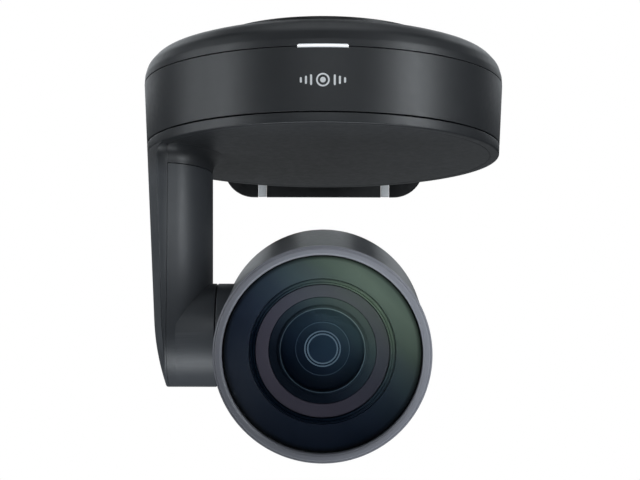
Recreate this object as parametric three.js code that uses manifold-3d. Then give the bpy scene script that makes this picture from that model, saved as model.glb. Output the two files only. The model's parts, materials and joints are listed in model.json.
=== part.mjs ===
// A small conference-room PTZ camera that hangs upside down under an L-shaped wall bracket.
// Millimetres, +Z up. At rest the lens faces -Y and the arm is on the -X side.
// Heights count from the flat underside of the turntable and x and y from the pan axis. At the end
// the whole model moves so that its origin is on the bracket's wall face.
import * as THREE from 'three';
import { mergeVertices } from 'three/addons/utils/BufferGeometryUtils.js';
import Module from 'manifold-3d';

const wasm = await Module();
wasm.setup();

// ---------------------------------------------------------------- driving dimensions

const GAP = 0.3; // clearance between pieces that touch
const SEAM = 0.5; // open line between two outer shells
const WALL = 2.4; // moulded wall of the base, turntable and arm
const FAR = 100; // reach of a cutting block, past every face

// Base and turntable share one cone about the pan axis.
const CONE_RADIUS = 74.3; // at the turntable's underside
const CONE_SLOPE = 0.055; // growth of the radius per millimetre of height
const RIM_TOP = 4.1; // the turntable's rim ends here
const RIM_INNER = 70.9;
const DISC_TOP = WALL; // inside of the turntable's disc
const EDGE_RADIUS = 0.8; // round between the rim and the underside
const SHELL_BOTTOM = RIM_TOP + SEAM;
const SHELL_TOP = 29.95;
const COVER_BOTTOM = SHELL_TOP + SEAM;
const FOOT_Z = 45.3; // the foot face, turned up under the bracket's shelf

// Wall bracket, bent from one plate.
const PLATE = 2.5;
const SHELF_Z = 47.1; // underside of the shelf
const SHELF_TOP = SHELF_Z + PLATE;
const BRACKET_HALF = 46.7; // half width, and the radius of the shelf's round front
const WALL_Y = 90; // rear face of the leg, against the wall
const LEG_BOTTOM = -2;
const LEG_CORNER = 14; // radius of the leg's lower corners
const BEND_RADIUS = 4; // outside of the bend
const STRIP_X = 28.65; // two pale spacer strips stand in slots of the leg
const STRIP_WIDTH = 3.7;
const STRIP_TOP = 30;
const STRIP_STANDS_OUT = 0.4; // in front of the leg
const WALL_HOLE = { x: 38, low: 12, high: 38, radius: 2.6 };
const SHELF_HOLE_RADIUS = 3.6;
const ORIGIN_Z = 24; // height of the origin on the wall face

// Arm: an outer shell that follows the cone and a rounded inner cover, meeting near ARM_SPLIT.
const ARM_SPLIT = -64;
const ARM_SHELL_END = ARM_SPLIT + GAP / 2;
const ARM_COVER_START = ARM_SHELL_END + GAP;
const ARM_ROOT = -7; // the cover starts below this height
const ARM_HALF_TOP = 26; // half depth of the arm at its root
const ARM_REACH_TOP = 17.2; // how far the inner face stands off ARM_SPLIT at the root
const ARM_REACH_LOW = 18; // the same at the tilt axis
const ARM_FLARE = 6; // fillet between the arm and the disc
const ARM_WALL = 2.2;
const ARM_CURVE_TOP = -70; // the cone starts to curve in below this height
const ARM_CURVE_RADIUS = 96;

// Tilt axis and head. The head is drawn level, then tilted.
const TILT_Z = -75.6;
const BOSS_RADIUS = 21.6; // of the arm's boss and the head's hub
const BOSS_END = -44.2;
const HUB_END = -43.9;
const SHAFT_BORE = 7.5;
const REST_TILT = THREE.MathUtils.degToRad(14);
const BARREL_RADIUS = 42.7;
const BARREL_FRONT = -50.3;
const BARREL_STRAIGHT = 19.2; // behind this the barrel rounds over to its flat back
const HEAD_SEAM = 22.4; // the rear cover starts here
const HEAD_BACK = 31;
const HEAD_WALL = 1.8;
const RING_RADIUS = 43.2;
const RING_FRONT = -54;
const RING_BORE = 39.6;
const GLASS_RADIUS = 39.2;
const LENS_TUBE_RADIUS = 21.5;
const LENS_BORE = 17;
const ROD_X = 13.5; // guide rods, either side of the lens axis
const ROD_RADIUS = 1;
const SCREW_Z = 26; // lead screws, above and below the lens axis
const LEAD_SCREW_RADIUS = 1.2;
const LENS_MOTOR_RADIUS = 4.4;

// Spur gears.
const PRESSURE_ANGLE = THREE.MathUtils.degToRad(25);
const ADDENDUM = 0.8; // in modules
const DEDENDUM = 1.1;
const BACKLASH = 0.12; // of the half tooth angle
const PAN_GEAR = { module: 2, teeth: 36, pinion: 9 };
const TILT_GEAR = { module: 1.4, teeth: 20, pinion: 9 };
const PAN_MOTOR_ANGLE = THREE.MathUtils.degToRad(-55);

// Facets around a full turn.
const LARGE = 36;
const MIDDLE = 28;
const MEDIUM = 20;
const SMALL = 8;

// ---------------------------------------------------------------- shapes

const coneRadius = (z) => CONE_RADIUS + CONE_SLOPE * z;

// The arm's outer face leaves the cone on a wide arc near its lower end.
function outerRadius(z) {
  const drop = Math.max(0, ARM_CURVE_TOP - z);
  return coneRadius(z) - ARM_CURVE_RADIUS + Math.sqrt(ARM_CURVE_RADIUS ** 2 - drop ** 2);
}

// A body turned about +Y from an outline of [radius, y]. An outline off the axis is a closed ring.
function aboutY(outline, segments) {
  const points = outline.map(([radius, y]) => new THREE.Vector2(radius, y));
  if (THREE.ShapeUtils.area(points) < 0) points.reverse();
  if (!points.some((point) => point.x === 0)) points.push(points[0].clone());
  return new THREE.LatheGeometry(points, segments);
}

const aboutZ = (outline, segments) => aboutY(outline, segments).rotateX(Math.PI / 2);
const aboutX = (outline, segments) => aboutY(outline, segments).rotateZ(-Math.PI / 2);

// The head rounds over from its straight barrel to its flat back.
const BACK_ROUND = HEAD_BACK - BARREL_STRAIGHT;
const backRadius = (y) =>
  BARREL_RADIUS - BACK_ROUND + Math.sqrt(BACK_ROUND ** 2 - (y - BARREL_STRAIGHT) ** 2);

const rodOutline = (radius, from, to) => [[0, from], [radius, from], [radius, to], [0, to]];
const tubeOutline = (inner, outer, from, to) => [[inner, from], [outer, from], [outer, to], [inner, to]];

function block(x0, x1, y0, y1, z0, z1) {
  const geometry = new THREE.BoxGeometry(x1 - x0, y1 - y0, z1 - z0);
  return geometry.translate((x0 + x1) / 2, (y0 + y1) / 2, (z0 + z1) / 2);
}

// A flat shape in x and y, given thickness along +Z.
function slab(shape, from, to, curveSegments = 8) {
  const geometry = new THREE.ExtrudeGeometry(shape, { depth: to - from, bevelEnabled: false, curveSegments });
  return geometry.translate(0, 0, from);
}

function roundedRectangle(width, height, radius) {
  const [w, h] = [width / 2, height / 2];
  const shape = new THREE.Shape();
  shape.moveTo(-w + radius, -h);
  shape.lineTo(w - radius, -h);
  shape.absarc(w - radius, -h + radius, radius, -Math.PI / 2, 0);
  shape.absarc(w - radius, h - radius, radius, 0, Math.PI / 2);
  shape.absarc(-w + radius, h - radius, radius, Math.PI / 2, Math.PI);
  shape.absarc(-w + radius, -h + radius, radius, Math.PI, Math.PI * 1.5);
  return shape;
}

// A closed body through level outlines of [x, y], listed from low to high.
function loft(levels) {
  const count = levels[0].outline.length;
  const position = levels.flatMap(({ z, outline }) => outline.flatMap(([x, y]) => [x, y, z]));
  const index = [];
  for (let level = 0; level + 1 < levels.length; level += 1) {
    for (let i = 0; i < count; i += 1) {
      const a = level * count + i;
      const b = level * count + ((i + 1) % count);
      index.push(a, b, b + count, a, b + count, a + count);
    }
  }
  const flat = levels[0].outline.map(([x, y]) => new THREE.Vector2(x, y));
  const top = (levels.length - 1) * count;
  for (const [a, b, c] of THREE.ShapeUtils.triangulateShape(flat, [])) {
    index.push(c, b, a, top + a, top + b, top + c);
  }
  const geometry = new THREE.BufferGeometry();
  geometry.setAttribute('position', new THREE.Float32BufferAttribute(position, 3));
  geometry.setIndex(index);
  return geometry;
}

// ---------------------------------------------------------------- joining and cutting

function solid(geometry) {
  const bare = new THREE.BufferGeometry();
  bare.setAttribute('position', geometry.getAttribute('position'));
  bare.setIndex(geometry.index);
  const merged = mergeVertices(bare, 1e-4);
  const vertProperties = new Float32Array(merged.attributes.position.array);
  const triVerts = new Uint32Array(merged.index.array);
  return new wasm.Manifold(new wasm.Mesh({ numProp: 3, vertProperties, triVerts }));
}

function geometryOf(manifold) {
  const mesh = manifold.getMesh();
  const geometry = new THREE.BufferGeometry();
  geometry.setAttribute('position', new THREE.BufferAttribute(mesh.vertProperties, 3));
  geometry.setIndex(new THREE.BufferAttribute(mesh.triVerts, 1));
  geometry.computeVertexNormals();
  return geometry;
}

const cut = (body, ...tools) =>
  geometryOf(tools.reduce((rest, tool) => rest.subtract(solid(tool)), solid(body)));
const join = (body, ...others) =>
  geometryOf(others.reduce((sum, other) => sum.add(solid(other)), solid(body)));
const common = (body, ...others) =>
  geometryOf(others.reduce((rest, other) => rest.intersect(solid(other)), solid(body)));

// ---------------------------------------------------------------- gears

// Half of a tooth's angle at a radius, on an involute flank.
function halfTooth(radius, module, teeth) {
  const pitch = (module * teeth) / 2;
  const base = pitch * Math.cos(PRESSURE_ANGLE);
  const involute = (angle) => Math.tan(angle) - angle;
  const flank = Math.acos(Math.min(1, base / Math.max(radius, base)));
  const atPitch = (Math.PI / 2 / teeth) * (1 - BACKLASH);
  return Math.max(0, atPitch + involute(PRESSURE_ANGLE) - involute(flank));
}

// A gear's outline with a tooth on +X.
function gearShape(module, teeth, bore) {
  const pitch = (module * teeth) / 2;
  const [root, tip] = [pitch - DEDENDUM * module, pitch + ADDENDUM * module];
  const radii = [root, pitch, tip];
  const points = [];
  for (let tooth = 0; tooth < teeth; tooth += 1) {
    const centre = (tooth * 2 * Math.PI) / teeth;
    const half = radii.map((radius) => halfTooth(radius, module, teeth));
    radii.forEach((radius, i) => points.push([radius, centre - half[i]]));
    radii.toReversed().forEach((radius, i) => points.push([radius, centre + half[2 - i]]));
  }
  const shape = new THREE.Shape(points.map(([r, a]) => new THREE.Vector2(r * Math.cos(a), r * Math.sin(a))));
  if (bore > 0) shape.holes.push(new THREE.Path().absarc(0, 0, bore, 0, Math.PI * 2, true));
  return shape;
}

const centreDistance = ({ module, teeth, pinion }) => (module * (teeth + pinion)) / 2;

// ---------------------------------------------------------------- the group and its materials

const model = new THREE.Group();
const head = new THREE.Group();
head.position.z = TILT_Z;
head.rotation.x = REST_TILT;
model.add(head);

const LOOKS = {
  shell: { color: 0x2f3236, roughness: 0.5, metalness: 0 },
  bezel: { color: 0x5b5c68, roughness: 0.42, metalness: 0 },
  black: { color: 0x08090a, roughness: 0.45, metalness: 0 },
  lens: { color: 0x0b0d12, roughness: 0.3, metalness: 0 },
  mauve: { color: 0x3a3238, roughness: 0.4, metalness: 0 },
  glass: { color: 0x18211d, roughness: 0.05, metalness: 0 },
  light: { color: 0xffffff, roughness: 0.4, metalness: 0 },
  strip: { color: 0xa6a8ab, roughness: 0.6, metalness: 0 },
  rubber: { color: 0x141414, roughness: 0.9, metalness: 0 },
  steel: { color: 0x9a9da0, roughness: 0.35, metalness: 1 },
  aluminium: { color: 0xb4b6b8, roughness: 0.45, metalness: 1 },
  brass: { color: 0xb08d45, roughness: 0.35, metalness: 1 },
  board: { color: 0x12402a, roughness: 0.6, metalness: 0 },
  nylon: { color: 0xcfcabd, roughness: 0.5, metalness: 0 },
  cable: { color: 0xa5763a, roughness: 0.5, metalness: 0 },
};

function add(parent, name, geometry, look) {
  const mesh = new THREE.Mesh(geometry, new THREE.MeshStandardMaterial(LOOKS[look]));
  mesh.name = name;
  parent.add(mesh);
}

// A round-headed screw about +Z, its head's top at the origin.
function screw(headRadius, headHeight, shankRadius, length) {
  const socket = 0.55 * headRadius;
  const floor = -0.6 * headHeight;
  return aboutZ([[0, -length], [shankRadius, -length], [shankRadius, -headHeight],
    [headRadius, -headHeight], [headRadius, 0], [socket, 0], [socket, floor], [0, floor]], SMALL);
}

// ---------------------------------------------------------------- wall bracket

function bracketPlate() {
  const profile = new THREE.Shape();
  const inner = BEND_RADIUS - PLATE;
  const bendY = WALL_Y - BEND_RADIUS;
  profile.moveTo(-BRACKET_HALF - 1, SHELF_Z);
  profile.lineTo(bendY, SHELF_Z);
  profile.absarc(bendY, SHELF_Z - inner, inner, Math.PI / 2, 0, true);
  profile.lineTo(WALL_Y - PLATE, LEG_BOTTOM);
  profile.lineTo(WALL_Y, LEG_BOTTOM);
  profile.lineTo(WALL_Y, SHELF_TOP - BEND_RADIUS);
  profile.absarc(bendY, SHELF_TOP - BEND_RADIUS, BEND_RADIUS, 0, Math.PI / 2);
  profile.lineTo(-BRACKET_HALF - 1, SHELF_TOP);
  // The profile is drawn in y and z, so the slab turns from x-y-z to y-z-x.
  const bent = slab(profile, -BRACKET_HALF, BRACKET_HALF, 5).rotateZ(Math.PI / 2).rotateY(Math.PI / 2);

  const plan = new THREE.Shape();
  plan.moveTo(BRACKET_HALF, WALL_Y + 1);
  plan.lineTo(-BRACKET_HALF, WALL_Y + 1);
  plan.absarc(0, 0, BRACKET_HALF, Math.PI, 2 * Math.PI);
  const front = slab(plan, LEG_BOTTOM - 1, SHELF_TOP + 1, LARGE / 2);

  const legHeight = SHELF_TOP - LEG_BOTTOM + 2 * LEG_CORNER;
  const elevation = slab(roundedRectangle(2 * BRACKET_HALF, legHeight, LEG_CORNER), -FAR, FAR, 5);
  elevation.rotateX(Math.PI / 2).translate(0, 0, LEG_BOTTOM + legHeight / 2);

  const holes = [-1, 1].flatMap((side) => [WALL_HOLE.low, WALL_HOLE.high].map((z) =>
    aboutY(rodOutline(WALL_HOLE.radius, WALL_Y - 2 * PLATE, WALL_Y + 1), SMALL)
      .translate(side * WALL_HOLE.x, 0, z)));
  const slots = [-1, 1].map((side) => {
    const half = STRIP_WIDTH / 2 + GAP;
    const x = side * STRIP_X;
    return block(x - half, x + half, WALL_Y - 2 * PLATE, WALL_Y + 1, LEG_BOTTOM - 1, STRIP_TOP + GAP);
  });
  const screwHole = aboutZ(rodOutline(SHELF_HOLE_RADIUS, SHELF_Z - 1, SHELF_TOP + 1), MEDIUM);
  return cut(common(bent, front, elevation), screwHole, ...holes, ...slots);
}

add(model, 'wall_bracket', bracketPlate(), 'black');

for (const [name, side] of [['spacer_strip_left', -1], ['spacer_strip_right', 1]]) {
  const [x, half, front] = [side * STRIP_X, STRIP_WIDTH / 2, WALL_Y - PLATE - STRIP_STANDS_OUT];
  const strip = block(x - half, x + half, front, WALL_Y - GAP, LEG_BOTTOM + 0.1, STRIP_TOP);
  add(model, name, strip, 'strip');
}

const MOUNT_SCREW = { headRadius: 9, headHeight: 6, shank: 3.1, end: 37.5, lobes: 20, lobeDepth: 0.6 };
const COIN_SLOT = { half: 6, width: 1.6, depth: 1.8 };

// A thumb screw through the shelf into the base, with a lobed head and a coin slot.
function mountScrew() {
  const { headRadius, headHeight, shank, end, lobes, lobeDepth } = MOUNT_SCREW;
  const from = SHELF_TOP + GAP;
  const outline = Array.from({ length: lobes * 2 }, (_, i) => {
    const radius = i % 2 ? headRadius : headRadius - lobeDepth;
    const angle = (i * Math.PI) / lobes;
    return new THREE.Vector2(radius * Math.cos(angle), radius * Math.sin(angle));
  });
  const top = from + headHeight;
  const knob = slab(new THREE.Shape(outline), from, top);
  const stud = aboutZ(rodOutline(shank, end, from + 1), MEDIUM);
  const { half, width, depth } = COIN_SLOT;
  const coinSlot = block(-half, half, -width / 2, width / 2, top - depth, FAR);
  return cut(join(knob, stud), coinSlot);
}

add(model, 'mount_screw', mountScrew(), 'steel');

// ---------------------------------------------------------------- base

const COVER_SCREW_RADIUS = 28; // where the screws stand, from the axis
const COVER_SCREW_ANGLES = [45, 135, 225, 315].map(THREE.MathUtils.degToRad);
const FOOT_RING = { inner: 35, outer: 45, groove: 0.8 };
const INSERT = { bore: 3.4, outer: 6, bottom: 36.5, top: 45 };
const SCREW_BOSS_RADIUS = 4.6;
const SCREW_CLEARANCE = 1.7;
const LIGHT_BAR = { half: 10, low: 29.5, high: 30.95, backY: -69.9 };
const LOCK_SLOT = { depth: 50, fromY: 26, toY: 33, low: 15, high: 18 };
const PORT = { half: 31, low: 9.5, high: 25.5, floorY: 60, wall: 1.6 };

// The bowl: from the light seam over the shoulder to the flat foot.
function bottomCover() {
  const bowl = [[75.6, 34], [74.6, 36.9], [73, 39.3], [70.6, 41.6], [65, 43.7], [58, 44.9]];
  const bowlInside = [[55, 42.3], [64, 41.2], [69, 39], [71.6, 36], [73.2, 33]];
  const { inner, outer, groove } = FOOT_RING;
  const shell = aboutZ([[INSERT.outer + GAP, INSERT.bottom], [10, INSERT.bottom], [10, 42.6],
    ...bowlInside, [73.6, COVER_BOTTOM], [75.95, COVER_BOTTOM], ...bowl, [50, FOOT_Z],
    [outer + GAP, FOOT_Z], [outer + GAP, FOOT_Z - groove], [inner - GAP, FOOT_Z - groove],
    [inner - GAP, FOOT_Z], [INSERT.outer + GAP, FOOT_Z]], LARGE);
  const columns = [];
  const bores = [];
  for (const angle of COVER_SCREW_ANGLES) {
    const [x, y] = [COVER_SCREW_RADIUS * Math.cos(angle), COVER_SCREW_RADIUS * Math.sin(angle)];
    columns.push(aboutZ(rodOutline(SCREW_BOSS_RADIUS, 31.5, 43.5), SMALL).translate(x, y, 0));
    bores.push(aboutZ([[0, 30], [SCREW_CLEARANCE, 30], [SCREW_CLEARANCE, 42.6], [3.3, 42.6],
      [3.3, FOOT_Z + 1], [0, FOOT_Z + 1]], SMALL).translate(x, y, 0));
  }
  return cut(join(shell, ...columns), ...bores, lightNotch());
}

function lightNotch() {
  const { half, low, high, backY } = LIGHT_BAR;
  return block(-half - GAP, half + GAP, -FAR, backY + 0.4, low - GAP, high + GAP);
}

add(model, 'base_bottom_cover', bottomCover(), 'shell');
add(model, 'foot_ring', aboutZ(tubeOutline(FOOT_RING.inner, FOOT_RING.outer,
  FOOT_Z - FOOT_RING.groove + GAP, SHELF_Z - GAP), LARGE), 'rubber');
add(model, 'thread_insert', aboutZ(tubeOutline(INSERT.bore, INSERT.outer, INSERT.bottom, INSERT.top), MEDIUM),
  'brass');

COVER_SCREW_ANGLES.forEach((angle, i) => {
  const [x, y] = [COVER_SCREW_RADIUS * Math.cos(angle), COVER_SCREW_RADIUS * Math.sin(angle)];
  const geometry = screw(2.9, 2, 1.4, 13).translate(x, y, FOOT_Z - 0.4);
  add(model, `cover_screw_${i + 1}`, geometry, 'steel');
});

// The cone wall, turned in under the turntable and stepped at the top to seat the bowl.
function baseShell() {
  const inner = (z) => coneRadius(z) - WALL;
  const wall = aboutZ([[63.5, SHELL_BOTTOM], [coneRadius(SHELL_BOTTOM), SHELL_BOTTOM],
    [coneRadius(SHELL_TOP), SHELL_TOP], [73.2, SHELL_TOP], [73.2, 32.4], [71.8, 32.4], [71.8, 29],
    [inner(27), 27], [inner(7), 7], [63.5, 7]], LARGE);
  const portOpening = block(-PORT.half + PORT.wall, PORT.half - PORT.wall, PORT.floorY, FAR,
    PORT.low + PORT.wall, PORT.high - PORT.wall);
  const { depth, fromY, toY, low, high } = LOCK_SLOT;
  const lockSlot = block(-FAR, -depth, fromY, toY, low, high);
  return cut(wall, lightNotch(), portOpening, lockSlot);
}

add(model, 'base_shell', baseShell(), 'shell');

function lightBar() {
  const middle = (LIGHT_BAR.low + LIGHT_BAR.high) / 2;
  const height = LIGHT_BAR.high - LIGHT_BAR.low;
  const bar = slab(roundedRectangle(2 * LIGHT_BAR.half, height, height / 2 - 0.01), -LIGHT_BAR.backY, FAR, 4);
  bar.rotateX(Math.PI / 2).translate(0, 0, middle);
  return common(bar, aboutZ(rodOutline(76, 20, 40), 2 * LARGE));
}

add(model, 'status_light_bar', lightBar(), 'light');
add(model, 'light_board', block(-13, 13, -69.4, -68.2, 25, 34.5), 'board');

const pinionAt = [
  centreDistance(PAN_GEAR) * Math.cos(PAN_MOTOR_ANGLE),
  centreDistance(PAN_GEAR) * Math.sin(PAN_MOTOR_ANGLE),
];
const CHASSIS = { inner: 24.3, outer: 71.5, low: 7.3, high: 8.8 };

add(model, 'chassis_plate', cut(
  aboutZ(tubeOutline(CHASSIS.inner, CHASSIS.outer, CHASSIS.low, CHASSIS.high), LARGE),
  aboutZ(rodOutline(2.4, 0, 20), SMALL).translate(...pinionAt, 0),
  block(-8, 8, -62, -54, 0, 20),
  block(-62, -40, -8, 8, 0, 20),
), 'aluminium');

const BOARD = { inner: 14, outer: 64, low: 27, high: 28.6 };
const CHIPS = [
  { x: [-11, 11], y: [24, 46], height: 2 },
  { x: [-44, -30], y: [8, 26], height: 1.4 },
  { x: [28, 40], y: [-22, -6], height: 1.6 },
  { x: [-40, -32], y: [-30, -22], height: 4 },
];

add(model, 'main_board', join(
  aboutZ(tubeOutline(BOARD.inner, BOARD.outer, BOARD.low, BOARD.high), LARGE),
  ...CHIPS.map(({ x, y, height }) => block(...x, ...y, BOARD.high - 0.2, BOARD.high + height)),
), 'board');

// Sockets stand behind the port panel's floor and look out through it.
const SOCKETS = {
  power_jack: { x: -20, z: 17.5, width: 9, height: 9 },
  data_socket: { x: -2, z: 17.5, width: 9.4, height: 3.6 },
  video_socket: { x: 18, z: 17.5, width: 15.4, height: 6 },
};
const SOCKET_FRONT = PORT.floorY - GAP;
const SOCKET_BACK = 46;

function socketBlock({ x, z, width, height }, grow = 0) {
  const [w, h] = [width / 2 + grow, height / 2 + grow];
  return block(x - w, x + w, SOCKET_BACK - grow, SOCKET_FRONT + 20 * grow, z - h, z + h);
}

function portPanel() {
  const { half, low, high, floorY, wall } = PORT;
  const envelope = aboutZ([[0, 5], [coneRadius(5) - WALL - GAP, 5], [coneRadius(28) - WALL - GAP, 28],
    [0, 28]], LARGE);
  const tray = common(block(-half, half, floorY - wall, FAR, low, high), envelope);
  const inside = block(-half + wall, half - wall, floorY, FAR, low + wall, high - wall);
  return cut(tray, inside, ...Object.values(SOCKETS).map((socket) => socketBlock(socket, GAP)));
}

add(model, 'port_panel', portPanel(), 'black');

const JACK_BORE = 3.2;
const JACK_PIN = 1;
const { power_jack: jack, data_socket: data, video_socket: video } = SOCKETS;

add(model, 'power_jack', join(
  cut(socketBlock(jack), aboutY(rodOutline(JACK_BORE, 48, FAR), MEDIUM).translate(jack.x, 0, jack.z)),
  aboutY(rodOutline(JACK_PIN, 47, 59), SMALL).translate(jack.x, 0, jack.z),
), 'black');

// A flat socket: a metal sleeve with a tongue in the middle.
function sleeveSocket(socket, sleeve, tongueHalf) {
  const { x, z, width, height } = socket;
  const [w, h] = [width / 2 - sleeve, height / 2 - sleeve];
  const hollow = block(x - w, x + w, 49, FAR, z - h, z + h);
  const tongue = block(x - w + 1, x + w - 1, 48, 58.5, z - tongueHalf, z + tongueHalf);
  return join(cut(socketBlock(socket), hollow), tongue);
}

add(model, 'data_socket', sleeveSocket(data, 0.5, 0.35), 'steel');
add(model, 'video_socket', sleeveSocket(video, 0.6, 0.6), 'steel');

// The pan motor hangs on the chassis plate, with a step at its far end.
add(model, 'pan_motor', aboutZ([[0, CHASSIS.high + GAP], [12.5, CHASSIS.high + GAP], [12.5, 25], [5, 25],
  [5, 26], [0, 26]], MEDIUM).translate(...pinionAt, 0), 'steel');

const BEARING = { low: 7.3, high: 13 };

add(model, 'pan_bearing_outer', aboutZ([[20.7, BEARING.low], [24, BEARING.low], [24, BEARING.high],
  [20.7, BEARING.high], [20.7, 11.4], [21.7, 10.6], [21.7, 9.7], [20.7, 8.9]], MEDIUM), 'steel');

// ---------------------------------------------------------------- turntable and arm

// The arm's level section: straight sides outside ARM_SPLIT, half an ellipse inside it.
function armSection(z, inset) {
  const rise = THREE.MathUtils.clamp(z + ARM_FLARE, 0, ARM_FLARE);
  const flare = ARM_FLARE - Math.sqrt(ARM_FLARE ** 2 - rise ** 2);
  const fall = z / TILT_Z;
  const half = THREE.MathUtils.lerp(ARM_HALF_TOP, BOSS_RADIUS, Math.max(0, fall)) + flare - inset;
  const reach = THREE.MathUtils.lerp(ARM_REACH_TOP, ARM_REACH_LOW, Math.max(0, fall)) + flare - inset;
  const steps = 14;
  const outline = [[-FAR, -half]];
  for (let i = 0; i <= steps; i += 1) {
    const angle = Math.PI * (i / steps - 0.5);
    outline.push([ARM_SPLIT + reach * Math.cos(angle), half * Math.sin(angle)]);
  }
  outline.push([-FAR, half]);
  return { z, outline };
}

const FLARE_LEVELS = [0, 0.4, 0.7, 0.9, 1].map((part) => -ARM_FLARE + part * ARM_FLARE);

// The solid of revolution that the outer face of the arm and the rim lie on.
function envelope(inset, top) {
  const bottom = TILT_Z - BOSS_RADIUS;
  const heights = [0, 0.2, 0.4, 0.6, 0.8, 1].map((part) =>
    THREE.MathUtils.lerp(bottom, ARM_CURVE_TOP, part));
  const side = [...heights, top].map((z) => [outerRadius(z) - inset, z]);
  return aboutZ([[0, bottom], ...side, [0, top]], 2 * LARGE);
}

// The whole arm as one lump, before it is split into its shells.
function armLump(inset, top) {
  const levels = [TILT_Z, -38, ...FLARE_LEVELS, top].map((z) => armSection(z, inset));
  const boss = aboutX(rodOutline(BOSS_RADIUS - inset, -FAR, BOSS_END - inset), MIDDLE);
  boss.translate(0, 0, TILT_Z);
  return common(join(loft(levels), boss), envelope(inset, top));
}

const HUB_BORE = 11;

// Rim, disc and the outer half of the arm are one moulding, thinner over the hub's bore.
function turntableShell() {
  const edge = coneRadius(0);
  const pan = aboutZ([[0, 0], [edge - EDGE_RADIUS, 0], [edge - 0.3 * EDGE_RADIUS, 0.25 * EDGE_RADIUS],
    [edge, EDGE_RADIUS], [coneRadius(RIM_TOP), RIM_TOP], [RIM_INNER, RIM_TOP], [RIM_INNER, DISC_TOP],
    [0, DISC_TOP]], LARGE);
  const whole = join(pan, armLump(0, 1));
  const coverSpace = block(ARM_SHELL_END, 0, -FAR, FAR, -FAR, ARM_ROOT);
  const wiring = aboutZ(rodOutline(HUB_BORE, 1, 10), MEDIUM);
  const inside = armLump(ARM_WALL, 10);
  return cut(whole, coverSpace, inside, wiring);
}

add(model, 'turntable_shell', turntableShell(), 'shell');

function armCover() {
  const keep = block(ARM_COVER_START, 0, -FAR, FAR, -FAR, ARM_ROOT - GAP);
  const shaftBore = aboutX(rodOutline(10, -FAR, 0), MEDIUM).translate(0, 0, TILT_Z);
  return cut(common(armLump(0, 1), keep), armLump(ARM_WALL, 10), shaftBore);
}

add(model, 'arm_inner_cover', armCover(), 'shell');

add(model, 'pan_gear', slab(gearShape(PAN_GEAR.module, PAN_GEAR.teeth, 29), DISC_TOP + GAP, 6.7)
  .rotateZ(PAN_MOTOR_ANGLE), 'nylon');
add(model, 'pan_hub', aboutZ([[HUB_BORE, DISC_TOP + GAP], [28, DISC_TOP + GAP], [28, 5.2], [15.7, 5.2],
  [15.7, 21], [HUB_BORE, 21]], MEDIUM), 'aluminium');
add(model, 'pan_bearing_inner', aboutZ([[16, BEARING.low], [20.2, BEARING.low], [20.2, 8.9], [19.2, 9.7],
  [19.2, 10.6], [20.2, 11.4], [20.2, BEARING.high], [16, BEARING.high]], MEDIUM), 'steel');

// Pinions: a gear and its motor shaft in one piece.
const panPinion = join(
  slab(gearShape(PAN_GEAR.module, PAN_GEAR.pinion, 0), 3.1, 6.6),
  aboutZ(rodOutline(2, 3, 8.9), SMALL),
);
panPinion.rotateZ(PAN_MOTOR_ANGLE + Math.PI + Math.PI / PAN_GEAR.pinion).translate(...pinionAt, 0);
add(model, 'pan_pinion', panPinion, 'brass');

// Inside the arm the gears lie in planes across X, between the frame and the cover.
const ARM_FRAME = { low: -60, high: -58.5 };
const GEAR_X = { low: -55.5, high: -52.5 };
const motorZ = TILT_Z + centreDistance(TILT_GEAR);

// A slab across X, with what was at +X turned to +Z.
const acrossX = (shape, from, to) => slab(shape, -to, -from).rotateY(-Math.PI / 2);


function armFrame() {
  const plate = slab(roundedRectangle(78, 26, 8), ARM_FRAME.low, ARM_FRAME.high, 4);
  return cut(
    plate.rotateY(Math.PI / 2).translate(0, 0, -50),
    aboutX(rodOutline(5, -FAR, 0), MEDIUM).translate(0, 0, TILT_Z),
    aboutX(rodOutline(2, -FAR, 0), SMALL).translate(0, 0, motorZ),
    block(-FAR, 0, -6, 6, -38, -20),
  );
}

add(model, 'arm_frame', armFrame(), 'aluminium');
add(model, 'arm_flat_cable', block(-63, -62.6, -5, 5, -44, 2.6), 'cable');
add(model, 'tilt_motor', aboutX(rodOutline(8.5, -67.6, ARM_FRAME.low - GAP), MEDIUM).translate(0, 0, motorZ),
  'steel');
add(model, 'tilt_bush', aboutX([[SHAFT_BORE, -48.6], [13, -48.6], [13, -46.8], [9.6, -46.8],
  [9.6, BOSS_END - 0.1], [SHAFT_BORE, BOSS_END - 0.1]], MEDIUM).translate(0, 0, TILT_Z), 'nylon');

// The pinion stands above the tilt gear, with a gap between two of its teeth at the bottom.
const tiltPinion = join(
  acrossX(gearShape(TILT_GEAR.module, TILT_GEAR.pinion, 0), GEAR_X.low - 0.3, GEAR_X.high + 0.3)
    .rotateX(Math.PI + Math.PI / TILT_GEAR.pinion),
  aboutX(rodOutline(1.6, ARM_FRAME.low, GEAR_X.high + 0.8), SMALL),
);
add(model, 'tilt_pinion', tiltPinion.translate(0, 0, motorZ), 'brass');

// ---------------------------------------------------------------- head, about the tilt axis

function headShell() {
  const barrel = aboutY([[0, BARREL_FRONT], [BARREL_RADIUS, BARREL_FRONT],
    [BARREL_RADIUS, BARREL_STRAIGHT], [backRadius(HEAD_SEAM), HEAD_SEAM], [0, HEAD_SEAM]], LARGE);
  const hub = aboutX(rodOutline(BOSS_RADIUS, HUB_END, -20), MIDDLE);
  return cut(
    join(barrel, hub),
    aboutY(rodOutline(BARREL_RADIUS - HEAD_WALL, -FAR, FAR), LARGE),
    aboutX(rodOutline(BOSS_RADIUS - HEAD_WALL, HUB_END + 2, 0), MIDDLE),
    aboutX(rodOutline(SHAFT_BORE, -FAR, 0), MEDIUM),
  );
}

add(head, 'head_shell', headShell(), 'shell');

const REAR_SCREW_RADIUS = 24;
const REAR_SCREW_ANGLES = [90, 210, 330].map(THREE.MathUtils.degToRad);

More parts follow.
